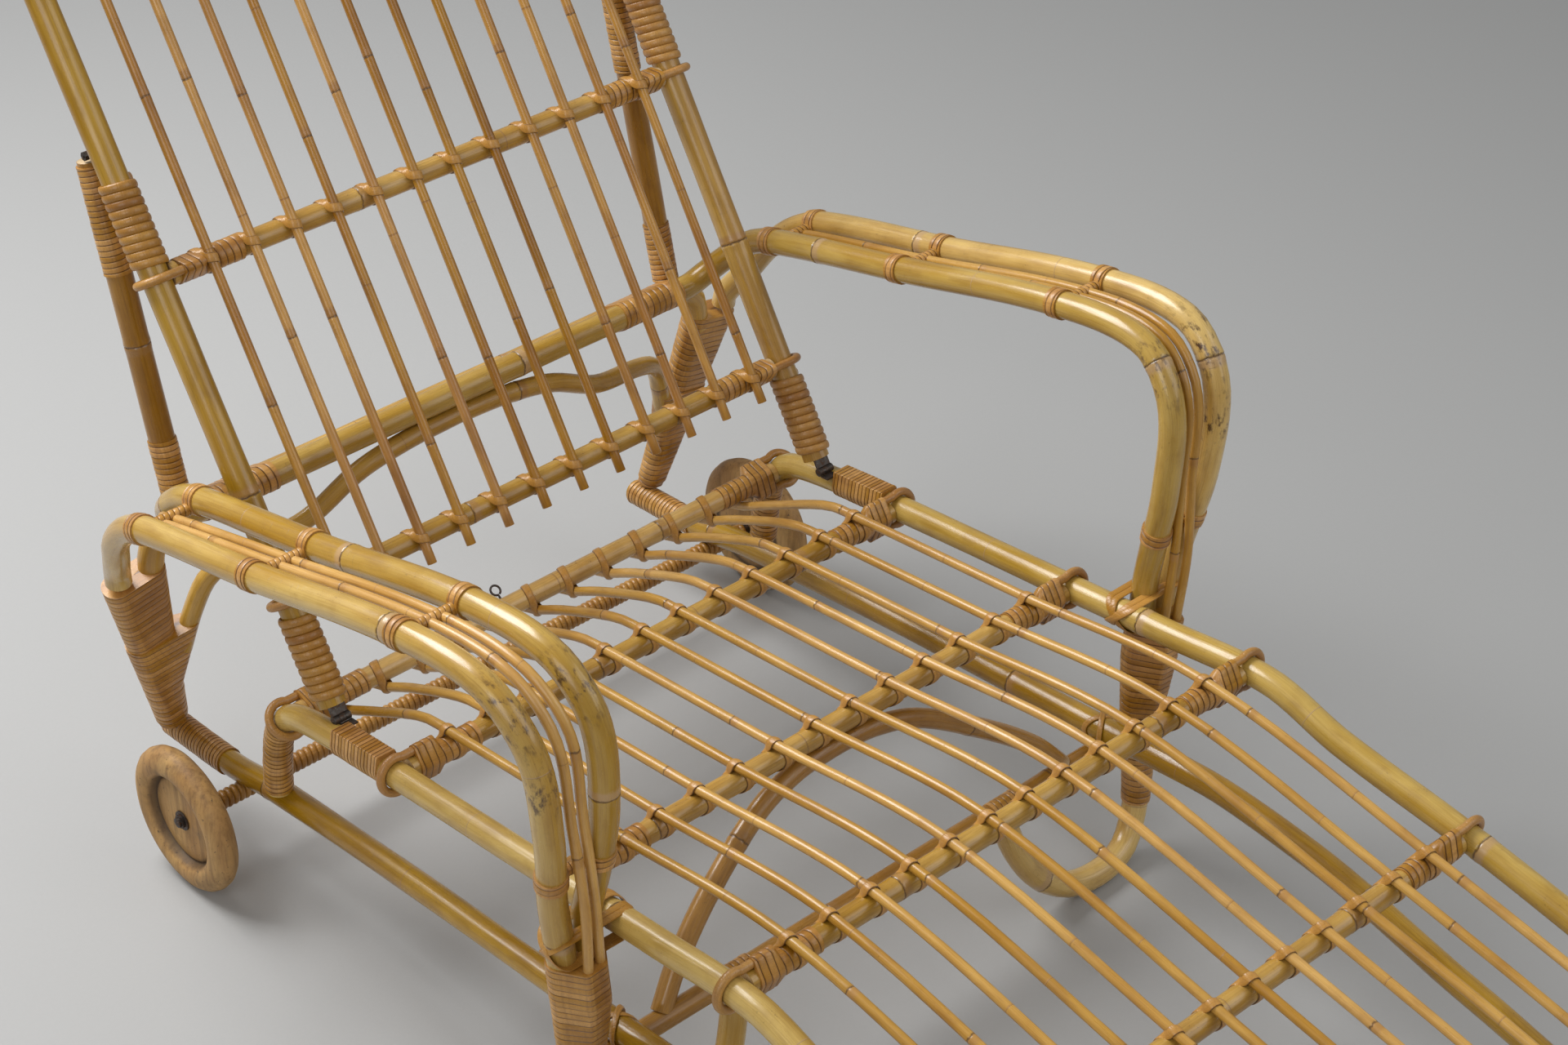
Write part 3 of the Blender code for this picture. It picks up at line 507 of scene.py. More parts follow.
# The seam between neighbouring turns of a wound strip, where the strip material paints shade into the crease
seamGroup, ins, outs = newTree("stripSeam", "ShaderNodeTree", {"Space": "Vector", "Width": 0.07},
                               {"Seam": "Float", "Height": "Float"})
parts = newNode(seamGroup, "ShaderNodeSeparateXYZ", Vector=ins["Space"]).outputs
angle = mathNode("DIVIDE", mathNode("ARCTAN2", parts["Y"], parts["X"]), math.tau)
turnShare = mathNode("FRACT", mathNode("ADD", mathNode("DIVIDE", parts["Z"], seamPitch), angle))
edge = mathNode("SUBTRACT", 0.5, mathNode("ABSOLUTE", mathNode("SUBTRACT", turnShare, 0.5)))
feed(outs["Seam"], mathNode("SUBTRACT", 1.0, mathNode("DIVIDE", edge, ins["Width"]), clamp=True))
feed(outs["Height"], rangeNode(edge, 0.0, 0.16))


# Materials
tints = {
    "ring": (0.10, 0.050, 0.018), "crack": (0.09, 0.045, 0.018), "speck": (0.08, 0.038, 0.016),
    "char": (0.060, 0.026, 0.012), "pore": (0.20, 0.11, 0.05), "pith": (0.62, 0.46, 0.26),
    # The seam and strip edge tints are painted shade: the creases between strip turns and the edges of lash
    # strips
    "seamShade": (0.075, 0.030, 0.012), "stripEdgeShade": (0.085, 0.034, 0.012),
    "wheelPale": (0.500, 0.300, 0.105), "wheelBrown": (0.375, 0.198, 0.062),
    "wheelGrain": (0.165, 0.080, 0.026), "mould": (0.15, 0.104, 0.060), "mouldSpot": (0.05, 0.035, 0.025),
    # painted shade for the corner of the wheel's recess
    "recessShade": (0.045, 0.026, 0.014),
    "steel": (0.085, 0.075, 0.068), "rust": (0.095, 0.042, 0.018), "rubbed": (0.26, 0.24, 0.22),
}


def startMaterial(name, **sockets):
    made = bpy.data.materials.new(name)
    made.use_nodes = True
    shader = made.node_tree.nodes["Principled BSDF"]
    for key, value in sockets.items():
        feed(shader.inputs[key.replace("_", " ")], value)
    return made, made.node_tree, shader.inputs, attributeNode(made.node_tree, "space", "Vector")


def bumpInto(tree, shader, height, strength, distance):
    bump = newNode(tree, "ShaderNodeBump", Strength=strength, Distance=distance, Height=height)
    feed(shader["Normal"], bump.outputs["Normal"])


def caneMaterial(name, light, dark, ripe, rough, fine, wear, coat, bandColour=(0.47, 0.30, 0.15)):
    made, tree, shader, space = startMaterial(name, Coat_Weight=coat, Coat_Roughness=0.16)
    fibre = placeGroup(fibreGroup, space=space, tone=attributeNode(tree, "tone"), fine=fine, light=light,
                       dark=dark, ripe=ripe)
    rings = placeGroup(ringGroup, ring=attributeNode(tree, "ring"), space=space)
    worn = placeGroup(wearGroup, space=space, amount=wear)
    colour = stain(fibre["Colour"], rings["Band"], 0.75, bandColour)
    colour = stain(colour, rings["Line"], 0.8, tints["ring"])
    colour = stain(colour, worn["Grime"], 0.35, dark)
    colour = stain(colour, worn["Crack"], 0.8, tints["crack"])
    colour = stain(colour, worn["Speck"], 0.8, tints["speck"])
    burnt = rangeNode(noiseNode(space, (150.0, 150.0, 90.0), 4.0, 0.7), 0.52, 0.66)
    scorch = mathNode("MULTIPLY", attributeNode(tree, "char"), burnt, clamp=True)
    colour = mixNode(scorch, colour, tints["char"])
    pores = newNode(tree, "ShaderNodeTexVoronoi", Scale=1500.0, Vector=space).outputs["Distance"]
    grainEnd = mixNode(rangeNode(pores, 0.1, 0.4), tints["pore"], tints["pith"])
    feed(shader["Base Color"], mixNode(attributeNode(tree, "cut"), colour, grainEnd))
    feed(shader["Roughness"], rangeNode(fibre["Rough"], 0.0, 1.0, rough - 0.06, rough + 0.14))
    high = mathNode("SUBTRACT", fibre["Height"], mathNode("MULTIPLY", rings["Line"], 0.9))
    bumpInto(tree, shader, mathNode("SUBTRACT", high, worn["Crack"]), 0.32, 0.0004)
    return made


def stripMaterial(name, light, dark, ripe, rough, seamWidth=0.001, seamShadeStrength=0.0, stripHalf=None):
    made, tree, shader, space = startMaterial(name, Coat_Weight=0.3, Coat_Roughness=0.22)
    fibre = placeGroup(fibreGroup, space=space, tone=attributeNode(tree, "tone"), fine=700.0, light=light,
                       dark=dark, ripe=ripe)
    threads = noiseNode(objectPlace(tree), 900.0, 3.0, 0.6)
    seams = placeGroup(seamGroup, space=space, width=seamWidth)
    worn = placeGroup(wearGroup, space=space, amount=0.35)
    colour = mixNode(rangeNode(threads, 0.45, 0.75, 0.0, 0.35), fibre["Colour"], dark)
    colour = stain(colour, worn["Grime"], 0.4, dark)
    # Darkens the seams between turns: painted shade in the creases
    colour = stain(colour, seams["Seam"], seamShadeStrength, tints["seamShade"])
    if stripHalf:
        # Darkens both edges of the strip: painted shade where its edges turn down
        wide = mathNode("ABSOLUTE", newNode(tree, "ShaderNodeSeparateXYZ", Vector=space).outputs["X"])
        edgeShade = rangeNode(wide, stripHalf * 0.80, stripHalf * 0.98)
        colour = stain(colour, edgeShade, 0.8, tints["stripEdgeShade"])
    feed(shader["Base Color"], colour)
    feed(shader["Roughness"], rangeNode(threads, 0.3, 0.8, rough - 0.05, rough + 0.15))
    high = mathNode("ADD", mathNode("MULTIPLY", seams["Height"], 1.2), threads)
    bumpInto(tree, shader, high, 0.30, 0.0005)
    return made


def wheelMaterial(recessShadeRadius=0.0452):
    made, tree, shader, space = startMaterial("turnedWheel")
    grain = noiseNode(space, (150.0, 150.0, 9.0), 5.0, 0.65)
    broad = noiseNode(space, (26.0, 26.0, 4.0))
    place = objectPlace(tree)
    mould = noiseNode(place, 34.0, 4.0, 0.65)
    colour = mixNode(rangeNode(broad, 0.35, 0.68), tints["wheelPale"], tints["wheelBrown"])
    colour = mixNode(rangeNode(grain, 0.44, 0.72, 0.0, 0.8), colour, tints["wheelGrain"])
    colour = mixNode(rangeNode(mould, 0.50, 0.74, 0.0, 0.6), colour, tints["mould"])
    spots = rangeNode(noiseNode(place, 300.0, 2.0), 0.66, 0.74, 0.0, 0.7)
    colour = mixNode(spots, colour, tints["mouldSpot"])
    # Dark ring round the edge of the wheel's recess: painted shade in the recess corner
    flat = stretched(space, (0.0, 1.0, 1.0))
    out = newNode(tree, "ShaderNodeVectorMath", flat, operation="LENGTH")
    offset = mathNode("ABSOLUTE", mathNode("SUBTRACT", out.outputs["Value"], recessShadeRadius))
    colour = mixNode(rangeNode(offset, 0.0008, 0.0050, 0.85, 0.0), colour, tints["recessShade"])
    feed(shader["Base Color"], colour)
    feed(shader["Roughness"], rangeNode(mould, 0.3, 0.7, 0.50, 0.75))
    bumpInto(tree, shader, grain, 0.35, 0.0006)
    return made


def steelMaterial():
    made, tree, shader, space = startMaterial("darkSteel")
    place = objectPlace(tree)
    rust = noiseNode(place, 240.0, 4.0, 0.7)
    rub = rangeNode(noiseNode(place, 700.0, 3.0, 0.6), 0.60, 0.75, 0.0, 0.6)
    colour = mixNode(rangeNode(rust, 0.48, 0.66), tints["steel"], tints["rust"])
    feed(shader["Base Color"], mixNode(rub, colour, tints["rubbed"]))
    feed(shader["Roughness"], rangeNode(rust, 0.3, 0.7, 0.32, 0.70))
    feed(shader["Metallic"], rangeNode(rust, 0.45, 0.70, 0.95, 0.35))
    bumpInto(tree, shader, rust, 0.4, 0.0003)
    return made


# Look, then its material's name, light, dark and ripe colour, roughness, fineness, wear, coat and ring band
caneLooks = {
    "pole": ("palePole", (0.610, 0.425, 0.134), (0.276, 0.142, 0.022), (0.470, 0.289, 0.056),
             0.26, 900.0, 0.8, 0.30),
    "armPole": ("armPole", (0.600, 0.410, 0.128), (0.265, 0.130, 0.020), (0.450, 0.262, 0.049),
                0.25, 900.0, 0.8, 0.40),
    "goldPole": ("goldenPole", (0.520, 0.311, 0.057), (0.180, 0.079, 0.010), (0.375, 0.201, 0.026),
                 0.25, 900.0, 0.9, 0.35, (0.360, 0.183, 0.053)),
    "barPole": ("barPole", (0.590, 0.372, 0.110), (0.215, 0.097, 0.014), (0.450, 0.253, 0.053),
                0.28, 700.0, 0.9, 0.30, (0.360, 0.193, 0.062)),
    "brownPole": ("brownPole", (0.415, 0.215, 0.047), (0.142, 0.056, 0.008), (0.305, 0.144, 0.023),
                  0.26, 900.0, 0.9, 0.30, (0.300, 0.154, 0.044)),
    "thin": ("thinCane", (0.592, 0.348, 0.092), (0.254, 0.104, 0.016), (0.460, 0.240, 0.043),
             0.28, 1500.0, 0.6, 0.28, (0.430, 0.222, 0.062)),
    "backThin": ("backSlatCane", (0.540, 0.280, 0.053), (0.150, 0.052, 0.007), (0.375, 0.164, 0.024),
                 0.28, 1500.0, 0.9, 0.28, (0.330, 0.150, 0.035)),
}
# Look, then its material's name, light, dark and ripe colour, roughness, seam width, strength of the painted
# seam shade and half width of a flat strip
stripLooks = {
    "strip": ("boundStrip", (0.560, 0.295, 0.070), (0.190, 0.072, 0.013), (0.410, 0.187, 0.036),
              0.38, 0.12, 0.92),
    "lash": ("lashStrip", (0.567, 0.301, 0.073), (0.189, 0.071, 0.012), (0.425, 0.193, 0.036),
             0.36, 0.001, 0.0, 0.0042),
    "reed": ("woundReed", (0.510, 0.270, 0.067), (0.165, 0.065, 0.012), (0.358, 0.160, 0.033), 0.38),
}
looks = {name: caneMaterial(*values) for name, values in caneLooks.items()}
looks.update({name: stripMaterial(*values) for name, values in stripLooks.items()})
looks.update({"wheel": wheelMaterial(), "steel": steelMaterial()})
print("materials ready")


# Geometry Nodes: a reed wound in turns of one radius
windTree, ins, outs = newTree("windReed", "GeometryNodeTree", {
    "Geometry": "Geometry", "Turns": 11.0, "Coil Radius": 0.0169, "Height": 0.088, "Reed Radius": 0.0036,
    "Flatness": 1.0, "Tone": 0.5, "Turn By": "Vector", "Place": "Vector", "Finish": "Material"},
    {"Geometry": "Geometry"})
spiral = firstOf(windTree, "GeometryNodeCurveSpiral", Resolution=30, Rotations=ins["Turns"],
                 Start_Radius=ins["Coil Radius"], End_Radius=ins["Coil Radius"], Height=ins["Height"])
section = firstOf(windTree, "GeometryNodeCurvePrimitiveCircle", Resolution=10, Radius=ins["Reed Radius"])
thinner = firstOf(windTree, "ShaderNodeCombineXYZ", ins["Flatness"], 1.0, 1.0)
section = firstOf(windTree, "GeometryNodeTransform", Geometry=section, Scale=thinner)
level = firstOf(windTree, "GeometryNodeSetCurveNormal", mode="Z_UP", Curve=spiral)
run = newNode(windTree, "GeometryNodeSplineParameter").outputs["Length"]
curve = firstOf(windTree, "GeometryNodeStoreNamedAttribute", data_type="FLOAT_VECTOR", domain="POINT",
                Name="space", Value=firstOf(windTree, "ShaderNodeCombineXYZ", Z=run), Geometry=level)
swept = firstOf(windTree, "GeometryNodeCurveToMesh", Fill_Caps=True, Curve=curve, Profile_Curve=section)
toned = firstOf(windTree, "GeometryNodeStoreNamedAttribute", data_type="FLOAT", domain="POINT", Name="tone",
                Value=ins["Tone"], Geometry=swept)
aimed = firstOf(windTree, "GeometryNodeTransform", Geometry=toned, Rotation=ins["Turn By"],
                Translation=ins["Place"])


# Ends a tree: its instances become a mesh with the finish on it
def endTree(tree, geometry):
    real = firstOf(tree, "GeometryNodeRealizeInstances", Geometry=geometry)
    feed(outs["Geometry"], firstOf(tree, "GeometryNodeSetMaterial", Geometry=real, Material=ins["Finish"]))


endTree(windTree, firstOf(windTree, "GeometryNodeSetShadeSmooth", Geometry=aimed))

# Geometry Nodes: a strip set at each point, tilted with its bar and never quite of one width
tieTree, ins, outs = newTree("tieStrips", "GeometryNodeTree", {
    "Geometry": "Geometry", "Strip": "Object", "Size Jitter": 0.03, "Seed": 5, "Finish": "Material"},
    {"Geometry": "Geometry"})
template = newNode(tieTree, "GeometryNodeObjectInfo", transform_space="ORIGINAL", Object=ins["Strip"])
tilt = firstOf(tieTree, "GeometryNodeInputNamedAttribute", data_type="FLOAT_VECTOR", Name="tilt")
width = newNode(tieTree, "FunctionNodeRandomValue", data_type="FLOAT", Seed=ins["Seed"])
feed(width.inputs[2], mathNode("SUBTRACT", 1.0, ins["Size Jitter"]))
feed(width.inputs[3], mathNode("ADD", 1.0, ins["Size Jitter"]))
strips = firstOf(tieTree, "GeometryNodeInstanceOnPoints", Points=ins["Geometry"],
                 Instance=template.outputs["Geometry"],
                 Rotation=firstOf(tieTree, "FunctionNodeEulerToRotation", Euler=tilt),
                 Scale=firstOf(tieTree, "ShaderNodeCombineXYZ", width.outputs[1], 1.0, 1.0))
endTree(tieTree, strips)


# Puts a tree on a mesh, sets its inputs by identifier and returns the result as a plain mesh
def runTree(name, mesh, tree, values):
    holder = newObject(name, mesh)
    modifier = holder.modifiers.new(tree.name, "NODES")
    modifier.node_group = tree
    for socket in tree.interface.items_tree:
        if socket.in_out == "INPUT" and socket.name in values:
            modifier[socket.identifier] = values[socket.name]
    bpy.context.view_layer.update()
    result = bpy.data.meshes.new_from_object(holder.evaluated_get(bpy.context.evaluated_depsgraph_get()))
    bpy.data.objects.remove(holder)
    result.name = name
    return result


# One piece from several plain meshes
def joinMeshes(name, meshes, body, slot, *nodes):
    work = bmesh.new()
    finishes = []
    for mesh in meshes:
        finishes += [finish for finish in mesh.materials if finish not in finishes]
    for mesh in meshes:
        first = len(work.faces)
        work.from_mesh(mesh)
        work.faces.ensure_lookup_table()
        index = {i: finishes.index(m) for i, m in enumerate(mesh.materials)}
        for face in work.faces[first:]:
            face.material_index = index.get(face.material_index, 0)
    joined = bpy.data.meshes.new(name)
    work.to_mesh(joined)
    work.free()
    for finish in finishes:
        joined.materials.append(finish)
    joined.shade_smooth()
    showPiece(name, joined, body, nodes)


# Strip that passes over a slat and back under its bar, as a closed loop round both
def strap(barRadius, lift, slatRadius):
    r, b = slatRadius + 0.0001, (barRadius + 0.0001) / 0.0106
    half = [((0.0, 0.0, lift + r), (0, 0, 1)),
            ((r * 0.72, -0.0010, lift + r * 0.72), (0.7, -0.05, 0.7)),
            ((r + 0.0001, -0.0022, lift), (1, -0.15, 0.1)),
            ((r + 0.0003, -0.0052, lift - 0.0042), (0.85, -0.5, 0.2)),
            ((0.0052, -0.0078 * b, 0.0072 * b), (0.2, -0.75, 0.65)),
            ((0.0058, -0.0106 * b, 0.0), (0, -1, 0)),
            ((0.0040, -0.0075 * b, -0.0075 * b), (0, -0.7, -0.7))]
    spots = half + [((0.0, 0.0, -0.0106 * b), (0, 0, -1))]
    spots += [((-x, -y, z), (-u, -v, w)) for (x, y, z), (u, v, w) in half[:0:-1]]
    path = smoothPath([p for p, _ in spots] + [spots[0][0]], 3)[:-1]
    outward = smoothPath([Vector(n) for _, n in spots] + [Vector(spots[0][1])], 3)[:-1]
    return path, outward


# Straps at places, each given with the turn of its bar about x
def tieMesh(name, places, barRadius, lift, seed):
    pile = newPile()
    path, outward = strap(barRadius, lift, canes["slat"])
    addRibbon(pile, path, outward, canes["strip"], canes["stripThick"], 0.5)
    template = newObject(name + "Strip", finishMesh(name + "Strip", pile))
    points = bpy.data.meshes.new(name)
    points.from_pydata([tuple(p) for p, _ in places], [], [])
    layer = points.attributes.new("tilt", "FLOAT_VECTOR", "POINT")
    layer.data.foreach_set("vector", [c for _, a in places for c in (a, 0.0, 0.0)])
    made = runTree(name, points, tieTree, {
        "Strip": template, "Size Jitter": 0.04, "Seed": seed, "Finish": looks["lash"]})
    bpy.data.objects.remove(template)
    return made


def windMesh(name, turns, coil, height, reed, flatness, tone, turnBy, place):
    return runTree(name, bpy.data.meshes.new(name), windTree, {
        "Turns": turns, "Coil Radius": coil, "Height": height, "Reed Radius": reed, "Flatness": flatness,
        "Tone": tone, "Turn By": turnBy, "Place": tuple(place), "Finish": looks["reed"]})


# Rails
rails = {
    "seatX": 0.300, "lowerX": 0.292, "stileX": 0.290,
    "seatSide": ((0.195, 0.1245), (0.190, 0.165), (0.180, 0.203), (0.158, 0.229), (0.116, 0.242),
                 (0.005, 0.257), (-0.222, 0.282), (-0.342, 0.295), (-0.460, 0.3065), (-0.539, 0.287),
                 (-0.676, 0.268), (-0.782, 0.249), (-0.900, 0.225), (-1.010, 0.197), (-1.110, 0.164),
                 (-1.170, 0.136), (-1.204, 0.096), (-1.203, 0.050), (-1.165, 0.0190), (-1.120, 0.0140),
                 (-1.080, 0.0200)),
    "lowerSide": ((0.390, 0.087), (0.281, 0.095), (0.213, 0.108), (-0.011, 0.133), (-0.266, 0.1545),
                  (-0.371, 0.165), (-0.430, 0.168), (-0.525, 0.160), (-0.579, 0.151), (-0.684, 0.125),
                  (-0.746, 0.112), (-0.850, 0.086), (-0.950, 0.058), (-1.0768, 0.0206)),
}
seatLine = smoothPath([(rails["seatX"], y, z) for y, z in rails["seatSide"]])
lowerLine = smoothPath([(rails["lowerX"], y, z) for y, z in rails["lowerSide"]])
seatTop = seatLine[next(k for k, p in enumerate(seatLine) if p.z > 0.19):]


def roundRail(radius):
    return lambda s: [(0.0, 0.0, radius)]


# Name, half line, look, first seed, step between rings, and the lengths of the first and last wrap
railPieces = (("seat", seatLine, "pole", 11, 0.36, 0.092, 0.040, canes["rail"]),
              ("lower", lowerLine, "goldPole", 13, 0.40, 0.098, 0.036, canes["rail"] - 0.0004))
for n, (label, low, side) in enumerate(sides):
    for which, half, look, seed, nodeStep, first, last, lastRadius in railPieces:
        pile = newPile()
        line = placed(mirrored(half, side))
        length = railOf(line, across)["length"]
        addCane(pile, line, canes["rail"], look, seed + n, nodeStep)
        addWrap(pile, line, 0.003, first, roundRail(canes["rail"]), seed + 10 + n, hand=side)
        addWrap(pile, line, length - last, length - 0.0006, roundRail(lastRadius), seed + 20 + n)
        finishPiece(f"{which}Rail{label}", pile, "frame", "thick_cane", f"{which}_rail_{low}")
print("rails ready")


# Seat bars, their loops and end wraps, and the slats tied to them
seat = {"barY": (0.1675, 0.0, -0.226, -0.434, -0.676, -0.900, -1.100), "slats": 12, "pitch": 0.044,
        "wrapReach": 0.0847, "loopReach": 0.0395, "wrapThick": 0.0013, "flatHalf": 0.0040}
slatX = [seat["pitch"] * (k - (seat["slats"] - 1) / 2) for k in range(seat["slats"])]


def slopeAt(path, y):
    run = (pointAt(path, 1, y - 0.012) - pointAt(path, 1, y + 0.012)).normalized()
    return run, Vector((0, run.z, -run.y)).normalized()


def slatLift(k):
    overWrap = seat["wrapThick"] + 0.0006 if k in (0, seat["slats"] - 1) else 0.0
    return canes["bar"] + seat["flatHalf"] + canes["gap"] + overWrap


barAt = [pointAt(seatTop, 1, y) for y in seat["barY"]]
barRuns, barUps = zip(*(slopeAt(seatTop, y) for y in seat["barY"]))


# A bar between two canes: reed loops hold its ends and flat strip binds the loops' legs
def addBoundBar(pile, centre, up, halfLength, memberX, memberRadius, seed):
    reed, bar, reach = canes["reed"], canes["bar"], seat["loopReach"]
    leg = bar + reed
    ringRadius = memberRadius + reed + canes["gap"]
    legSpots = ((reach, leg), (0.030, leg), (0.019, leg + 0.0004))
    wrapFrom, flare = 0.0150, 0.002
    middle = Vector((0, centre.y, centre.z))
    addCane(pile, placed(throughLine(middle, across * halfLength)), bar, "barPole", seed, 0.30, 20, 0.015, up)

    def discsAt(s):
        past = s - (reach - wrapFrom) - flare
        high = leg if past < 0 else max(0.0, leg * (1 - past / 0.005))
        legs = [(0.0, high, reed), (0.0, -high, reed)] if high > 0 else []
        return [(0.0, 0.0, bar)] + legs

    for _, _, side in sides:
        hub = middle + across * (memberX * side)
        inward = across * -side
        path = [hub + inward * out + up * high for out, high in legSpots]
        for k in range(21):
            a = math.radians(62 + (360 - 124) * k / 20)
            path.append(hub + inward * (ringRadius * math.cos(a)) + up * (ringRadius * math.sin(a)))
        path += [hub + inward * out - up * high for out, high in legSpots[::-1]]
        tone = 0.55 + 0.4 * ((seed + side) % 3) / 3
        addTube(pile, placed(path), reed, "reed", tone, 14, inward.cross(up), seed * 0.1)
        line = placed([hub + inward * out for out in (wrapFrom, 0.05, seat["wrapReach"])])
        addWrap(pile, line, 0.0045, 0.0697, discsAt, seed * 7 + side, 0.0074, 24, up.cross(inward), side)


def addScrewEye(pile, foot, radius, out):
    away = out.normalized()
    eye, wire = 0.0050, 0.0011
    centre = foot + away * (radius + 0.004 + eye)
    path = [foot + away * (radius - 0.003), foot + away * (radius + 0.003)]
    for k in range(25):
        a = math.radians(180 + 14 * k)
        path.append(centre + away * (eye * math.cos(a)) + across * (eye * math.sin(a)))
    addTube(pile, placed(path), wire, "steel", 0.5, 10, away.cross(across))


pile = newPile()
barHalf = rails["seatX"] - canes["rail"] - canes["gap"]
for n, place in enumerate(barAt):
    addBoundBar(pile, place, barUps[n], barHalf, rails["seatX"], canes["rail"], 41 + n)
addScrewEye(pile, Vector((-0.050, barAt[0].y, barAt[0].z)), canes["bar"], Vector((0, 0.80, 0.60)))
finishPiece("seatBars", pile, "frame", "thick_cane", *[f"seat_bar_{n}" for n in range(1, 8)])

pile = newPile()
for k, x in enumerate(slatX):
    clear = 0.0040 if k in (0, seat["slats"] - 1) else 0.0006
    under = barAt[0].z - (canes["bar"] + seat["flatHalf"] + canes["gap"] + clear)
    path = [Vector((x, barAt[0].y + 0.024, under - 0.004)), Vector((x, barAt[0].y, under)),
            Vector((x, 0.118, under + 0.0255)), Vector((x, 0.040, barAt[1].z + slatLift(k) - 0.0072))]
    for place, up in zip(barAt[1:], barUps[1:]):
        path.append(Vector((x, place.y, place.z)) + up * slatLift(k))
    path.append(path[-1] + barRuns[-1] * 0.024)
    addCane(pile, placed(smoothPath(path, 6)), canes["slat"], "thin", 301 + k, 0.27, 12, 0.016)
finishSlats("seatSlats", pile, "frame", "seat_slat")


# Straps for one set of bars, the outermost over the end wraps
def tieGroups(places, ups, seed, name):
    meshes = []
    for outer in (False, True):
        spots = []
        for place, up in zip(places, ups):
            turn = math.atan2(-up.y, up.z)
            for k, x in enumerate(slatX):
                if (k in (0, len(slatX) - 1)) == outer:
                    spots.append((Vector((x, place.y, place.z)) + centreShift, turn))
        wide = canes["bar"] + (seat["wrapThick"] if outer else 0.0)
        lift = slatLift(0 if outer else 1)
        meshes.append(tieMesh(name + ("Outer" if outer else "Inner"), spots, wide, lift, seed + outer))
    return meshes


ties = tieGroups(barAt[1:], barUps[1:], 61, "seatTies")
turnedOver = math.atan2(-barUps[0].y, barUps[0].z) + math.pi
flipped = [(Vector((x, barAt[0].y, barAt[0].z)) + centreShift, turnedOver) for x in slatX[1:-1]]
ties.append(tieMesh("rearBarTies", flipped, canes["bar"], slatLift(1) + 0.0006, 65))
joinMeshes("seatTies", ties, "frame", "thin_cane")
print("seat ready")


# Arms
arms = {
    "outer": ((0.3625, 0.3235, 0.3198), (0.3635, 0.3215, 0.3320), (0.374, 0.300, 0.363),
              (0.384, 0.277, 0.398), (0.389, 0.246, 0.429), (0.392, 0.205, 0.450),
              (0.393, 0.043, 0.490), (0.392, -0.161, 0.543), (0.390, -0.262, 0.549),
              (0.383, -0.305, 0.506), (0.374, -0.309, 0.421), (0.364, -0.296, 0.345),
              (0.3550, -0.290, 0.290), (0.347, -0.288, 0.200), (0.338, -0.290, 0.090),
              (0.331, -0.294, 0.046), (0.309, -0.303, 0.0185), (0.273, -0.309, 0.0125),
              (0.228, -0.307, 0.0200), (0.194, -0.298, 0.0450), (0.174, -0.288, 0.0800),
              (0.164, -0.281, 0.1142)),
    "inner": ((0.3265, -0.288, 0.2646), (0.3265, -0.290, 0.310), (0.322, -0.300, 0.360),
              (0.320, -0.310, 0.424), (0.323, -0.306, 0.508), (0.329, -0.266, 0.550),
              (0.331, -0.165, 0.545), (0.333, 0.045, 0.491), (0.332, 0.205, 0.452),
              (0.331, 0.245, 0.436), (0.327, 0.280, 0.405), (0.312, 0.296, 0.385),
              (0.292, 0.300, 0.376), (0.200, 0.300, 0.376)),
    "thin": (((0.358, 0.237, 0.433), (0.360, 0.205, 0.446), (0.356, 0.043, 0.488), (0.355, -0.161, 0.542),
              (0.353, -0.262, 0.547), (0.346, -0.304, 0.507), (0.341, -0.310, 0.421), (0.336, -0.313, 0.345),
              (0.331, -0.311, 0.2640)),
             ((0.370, 0.237, 0.433), (0.371, 0.205, 0.446), (0.368, 0.043, 0.488), (0.367, -0.161, 0.542),
              (0.365, -0.262, 0.547), (0.359, -0.304, 0.507), (0.353, -0.311, 0.421), (0.349, -0.317, 0.345),
              (0.345, -0.313, 0.2640))),
    "crossY": (0.216, 0.041, -0.163), "legCrossZ": 0.372,
    "legWrap": ((0.2730, 1.0), (0.2300, 1.0), (0.1600, 0.62), (0.1000, 0.20), (0.0560, 0.0)),
}
outerLine = smoothPath(arms["outer"])
innerHalf = smoothPath(arms["inner"])
thinLines = [smoothPath(path) for path in arms["thin"]]
innerLine = mirrored(innerHalf, -1) + innerHalf[::-1]
pile = newPile()
innerPlaced = placed(innerLine)
charInner = [(runTo(innerPlaced, Vector((x, -0.29, 0.535)) + centreShift), 0.03) for x in (-0.325, 0.325)]
addCane(pile, innerPlaced, canes["rail"], "armPole", 71, 0.37, charAt=charInner)
finishPiece("innerArmCane", pile, "frame", "thick_cane", "arm_inner_cane")


# Crosspiece between two canes: a band round each, and a wound bar from one to the other
def addCrosspiece(pile, ends, bar, radius, bandSeed, barSeed, side):
    bandHalf = 0.0068
    for line, centre in ends:
        run = runTo(line, centre)
        band = roundRail(canes["rail"] + 0.0002)
        addWrap(pile, line, run - bandHalf, run + bandHalf, band, bandSeed, bandHalf, hand=side)
    addWrap(pile, bar, 0.0, (bar[2] - bar[0]).length, roundRail(radius), barSeed, 0.0048, 16, upward, -side)


